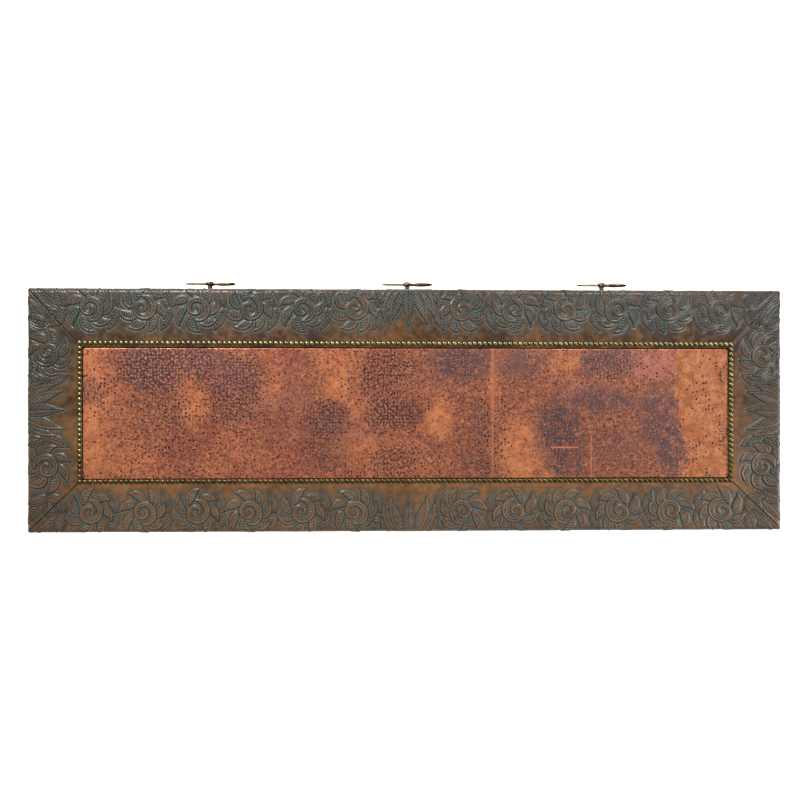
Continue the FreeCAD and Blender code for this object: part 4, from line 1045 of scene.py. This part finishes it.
# %% Make the three pulls
def pull_fields(centre):
    """Where the pull is dark: at the tips, on the post and in the roots of the boss."""
    def at(points):
        away = np.abs(points[:, 0] - centre[0])
        behind = eased(points[:, 1], centre[1] + 0.003, centre[1] + 0.008)
        root = np.exp(-((away - 0.0085) / 0.0022) ** 2) * (points[:, 1] < centre[1] + 0.008)
        on_boss = 0.35 * eased(-away, -0.012, -0.009)
        return {"rim": np.clip(eased(away, 0.040, 0.060) + behind + 0.6 * root + on_boss, 0, 1),
                "shade": np.zeros(len(points))}
    return at


POST = [(0.001, 0.0075), (0.004, 0.0072), (0.007, 0.0052), (0.012, 0.0044), (0.024, 0.0042),
        (0.034, 0.0052), (0.042, 0.0056)]      # distance from the leather, radius
PLATE = [(0.0, 0.0118), (0.0012, 0.0120), (0.0022, 0.0112), (0.0030, 0.0092), (0.0026, 0.0072),
         (0.0034, 0.0064)]
pull_brass = brass_finish("pull_brass", paint(158, 140, 106), paint(100, 84, 60), paint(20, 16, 13),
                          rim_share=1.0, roughness=0.32)
for n, side in enumerate(DRAWERS):
    low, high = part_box(f"drawer_{side}_pull")
    centre = np.array([(low.x + high.x) / 2, low.y + 0.007, (low.z + high.z) / 2])
    bar = pull_bar(centre, (high.x - low.x) / 2)
    boss = boss_lump(centre, (0.0100, 0.0070, 0.0096), 70 + n)
    reach = high.y - centre[1]
    root = centre + [0, reach, 0]
    post = turned_part(root, POST)
    plate = turned_part(root, PLATE)
    pull = join_grids(f"drawer_{side}_forged_pull", [bar, boss, post, plate], f"drawer_{side}",
                      pull_fields(centre))
    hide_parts(f"drawer_{side}_pull")
    pull.data.materials.append(pull_brass)
    print(pull.name, triangles_of(pull), "triangles")

# %% [markdown]
# ## Drawer fronts
#
# Each drawer front carries the same tooled leather on its face, in a flat piece 1.8 mm thick. The
# surface is a closed path once more, this time round a thin rectangle, carried along x. The relief
# stands out towards the front and fades where the nails are driven.

# %% Leather on the drawers
DRAWER_LEAVES = strip_leaves(DRAWER_HALF)
FACE_ROWS, FACE_COLUMNS = 88, 340
PATTERN_HEIGHT = 104.0      # how much of the pattern the height of a drawer front takes
UNBROKEN = {"plain_from": 200, "plain_before": -40}      # no plain band: the pattern fills the face


def drawer_leather(side, seed):
    """A thin slab: the path goes up its face in small steps, back over the top, down behind and under.
    The pattern's a is measured down from the upper edge and stretched to the height of the slab."""
    low, high = (1000 * np.array(corner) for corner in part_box(f"drawer_{side}_leather"))
    tall, middle = high[2] - low[2], (low[0] + high[0]) / 2
    face_z = np.linspace(low[2] + 0.5, high[2] - 0.5, FACE_ROWS)
    path = np.vstack([[[low[1] + 0.5, low[2]]], np.stack([np.full(FACE_ROWS, low[1]), face_z], -1),
                      [[low[1] + 0.5, high[2]], [high[1], high[2]], [high[1], low[2]]]])
    s = np.linspace(low[0], high[0], FACE_COLUMNS)[None, :] - middle + np.zeros((len(path), 1))
    a = (high[2] - path[:, 1:]) * PATTERN_HEIGHT / tall + np.zeros_like(s)
    field = tooled(s, a, DRAWER_LEAVES, seed=seed, **UNBROKEN)
    from_ends = (high[0] - low[0]) / 2 - np.abs(s)
    from_edge = np.minimum(np.minimum(path[:, 1:] - low[2], high[2] - path[:, 1:]), from_ends)
    on_face = (path[:, 0] < low[1] + 0.1)[:, None] * eased(from_edge, 14, 18)
    lift = 0.8 * field.pop("height") * on_face
    stored = {key: (values * on_face if key != "phase" else values).ravel() for key, values in field.items()}
    points = np.stack([s + middle, path[:, :1] - lift, path[:, 1:] + 0 * s], -1).reshape(-1, 3) / 1000
    rows, columns = s.shape
    faces = [tube_faces(rows, columns), (np.arange(rows) * columns)[None, :],
             (np.arange(rows)[::-1] * columns + columns - 1)[None, :]]
    skin = put_in_scene(f"drawer_{side}_tooled_front", points, facing_out(points, faces), f"drawer_{side}",
                        stored, flat=(1, 2))
    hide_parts(f"drawer_{side}_leather")
    skin.data.materials.append(leather)
    return skin


for n, side in enumerate(DRAWERS):
    skin = drawer_leather(side, 81 + 7 * n)
    print(skin.name, triangles_of(skin), "triangles")

# %% [markdown]
# ## Wood
#
# Wood grain is noise stretched along the board, so the noise is squeezed across the grain many times
# more than along it. Plywood shows its plies only at the edges, where thin layers follow each other in
# height.

# %% Wood materials
def wood_finish(name, along, light, dark, gloss, pores=0.35, coat=0.0):
    """Long noise for the growth rings, finer noise for the fibres, and short dark pores. along says
    which axis, 0 to 2, the grain follows."""
    wood = Finish(name)
    squeeze = [34.0, 34.0, 34.0]
    squeeze[along] = 1.5
    where = wood.place(scale=tuple(squeeze))
    rings = wood.noise(where, 1.3, 4, 0.55, 1.2)
    bands = wood.sum("FRACT", wood.times(rings, 7.0))
    bands = wood.spread(wood.sum("ABSOLUTE", wood.sum("SUBTRACT", bands, 0.5)), 0.1, 0.5)
    fibre = wood.noise(where, 14, 4, 0.7)
    pore = wood.spread(wood.noise(where, 34, 2, 0.6), 0.6, 0.74)
    cloud = wood.noise(wood.place(), 6, 3, 0.6)
    tone = wood.mix(wood.times(bands, wood.spread(cloud, 0.3, 0.7, 0.25, 0.7)), light, dark)
    tone = wood.mix(wood.spread(fibre, 0.35, 0.75, 0.0, 0.45), tone, dark)
    tone = wood.mix(wood.times(pore, pores), tone, tuple(0.35 * c for c in dark))
    ridged = wood.bump(fibre, 0.0003, 0.5)
    pitted = wood.bump(wood.sum("SUBTRACT", 1.0, pore), 0.0002, 0.5, ridged)
    wood.shade(Base_Color=tone, Roughness=wood.spread(fibre, 0.3, 0.7, gloss, gloss + 0.15), Normal=pitted,
               Coat_Weight=coat, Coat_Roughness=0.25)
    return wood.material


STAIN = (paint(74, 46, 26), paint(38, 24, 14))
CLEAR = (paint(206, 168, 120), paint(160, 116, 72))
BARE = (paint(205, 174, 132), paint(170, 132, 90))
stained = [wood_finish(f"stained_wood_along_{'xyz'[n]}", n, *STAIN, 0.46, 0.6, 0.06) for n in range(3)]
lacquered = [wood_finish(f"drawer_wood_along_{'xyz'[n]}", n, *CLEAR, 0.4, 0.3, 0.1) for n in range(3)]
bare = [wood_finish(f"bare_wood_along_{'xyz'[n]}", n, *BARE, 0.62) for n in range(3)]
woods = {"stained_wood": stained, "drawer_wood": lacquered, "inner_wood": bare}
first_slots = {name: node.material_slots[0].name.split(".")[0]
               for name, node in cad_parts.items() if node.material_slots}
for name, slot_name in first_slots.items():
    low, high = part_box(name)
    longest = int(np.argmax(np.array(high) - np.array(low)))
    if slot_name in woods:
        dress(woods[slot_name][longest], name)
print("wood finishes:", [m.name for m in stained + lacquered + bare])

# %% Plywood
def plywood_finish():
    """Faces show long grain. The plies are 1.5 mm thick: the height in such steps decides between the
    light and the dark layers, and only where the surface is upright."""
    board = Finish("plywood")
    where = board.place(scale=(1.4, 20, 20))
    fibre = board.noise(where, 9, 4, 0.65, 0.8)
    face_tone = board.mix(board.spread(fibre, 0.3, 0.7), paint(214, 186, 142), paint(178, 142, 98))
    split = board.node("SeparateXYZ", {"Vector": board.place()})
    ply = board.sum("FRACT", board.times(split.outputs["Z"], 1 / 0.003))
    edge_tone = board.mix(board.sum("GREATER_THAN", ply, 0.5), paint(205, 172, 126), paint(132, 96, 62))
    upright = board.node("NewGeometry", {}).outputs["Normal"]
    facing = board.node("SeparateXYZ", {"Vector": upright}).outputs["Z"]
    flat_part = board.spread(board.sum("ABSOLUTE", facing), 0.4, 0.7)
    board.shade(Base_Color=board.mix(flat_part, edge_tone, face_tone), Roughness=0.65,
                Normal=board.bump(fibre, 0.0003, 0.5))
    return board.material


def zinc_finish():
    metal = Finish("zinc_screws")
    fine = metal.noise(metal.place(), 500, 3, 0.6)
    metal.shade(Base_Color=metal.mix(fine, paint(150, 146, 134), paint(196, 192, 180)), Metallic=1.0,
                Roughness=metal.spread(fine, 0.3, 0.7, 0.28, 0.42), Normal=metal.bump(fine, 0.0001, 0.4))
    return metal.material


def nylon_finish():
    plastic = Finish("black_nylon")
    fine = plastic.noise(plastic.place(), 700, 3, 0.6)
    plastic.shade(Base_Color=plastic.mix(fine, paint(30, 29, 28), paint(44, 42, 40)),
                  Roughness=plastic.spread(fine, 0.3, 0.7, 0.45, 0.6), Normal=plastic.bump(fine, 0.0001, 0.5))
    return plastic.material


hardware = {"plywood": plywood_finish(), "steel_screw": zinc_finish(), "nylon": nylon_finish()}
for name, slot_name in first_slots.items():
    if slot_name in hardware:
        dress(hardware[slot_name], name)
print("plain parts dressed:", sorted(hardware))
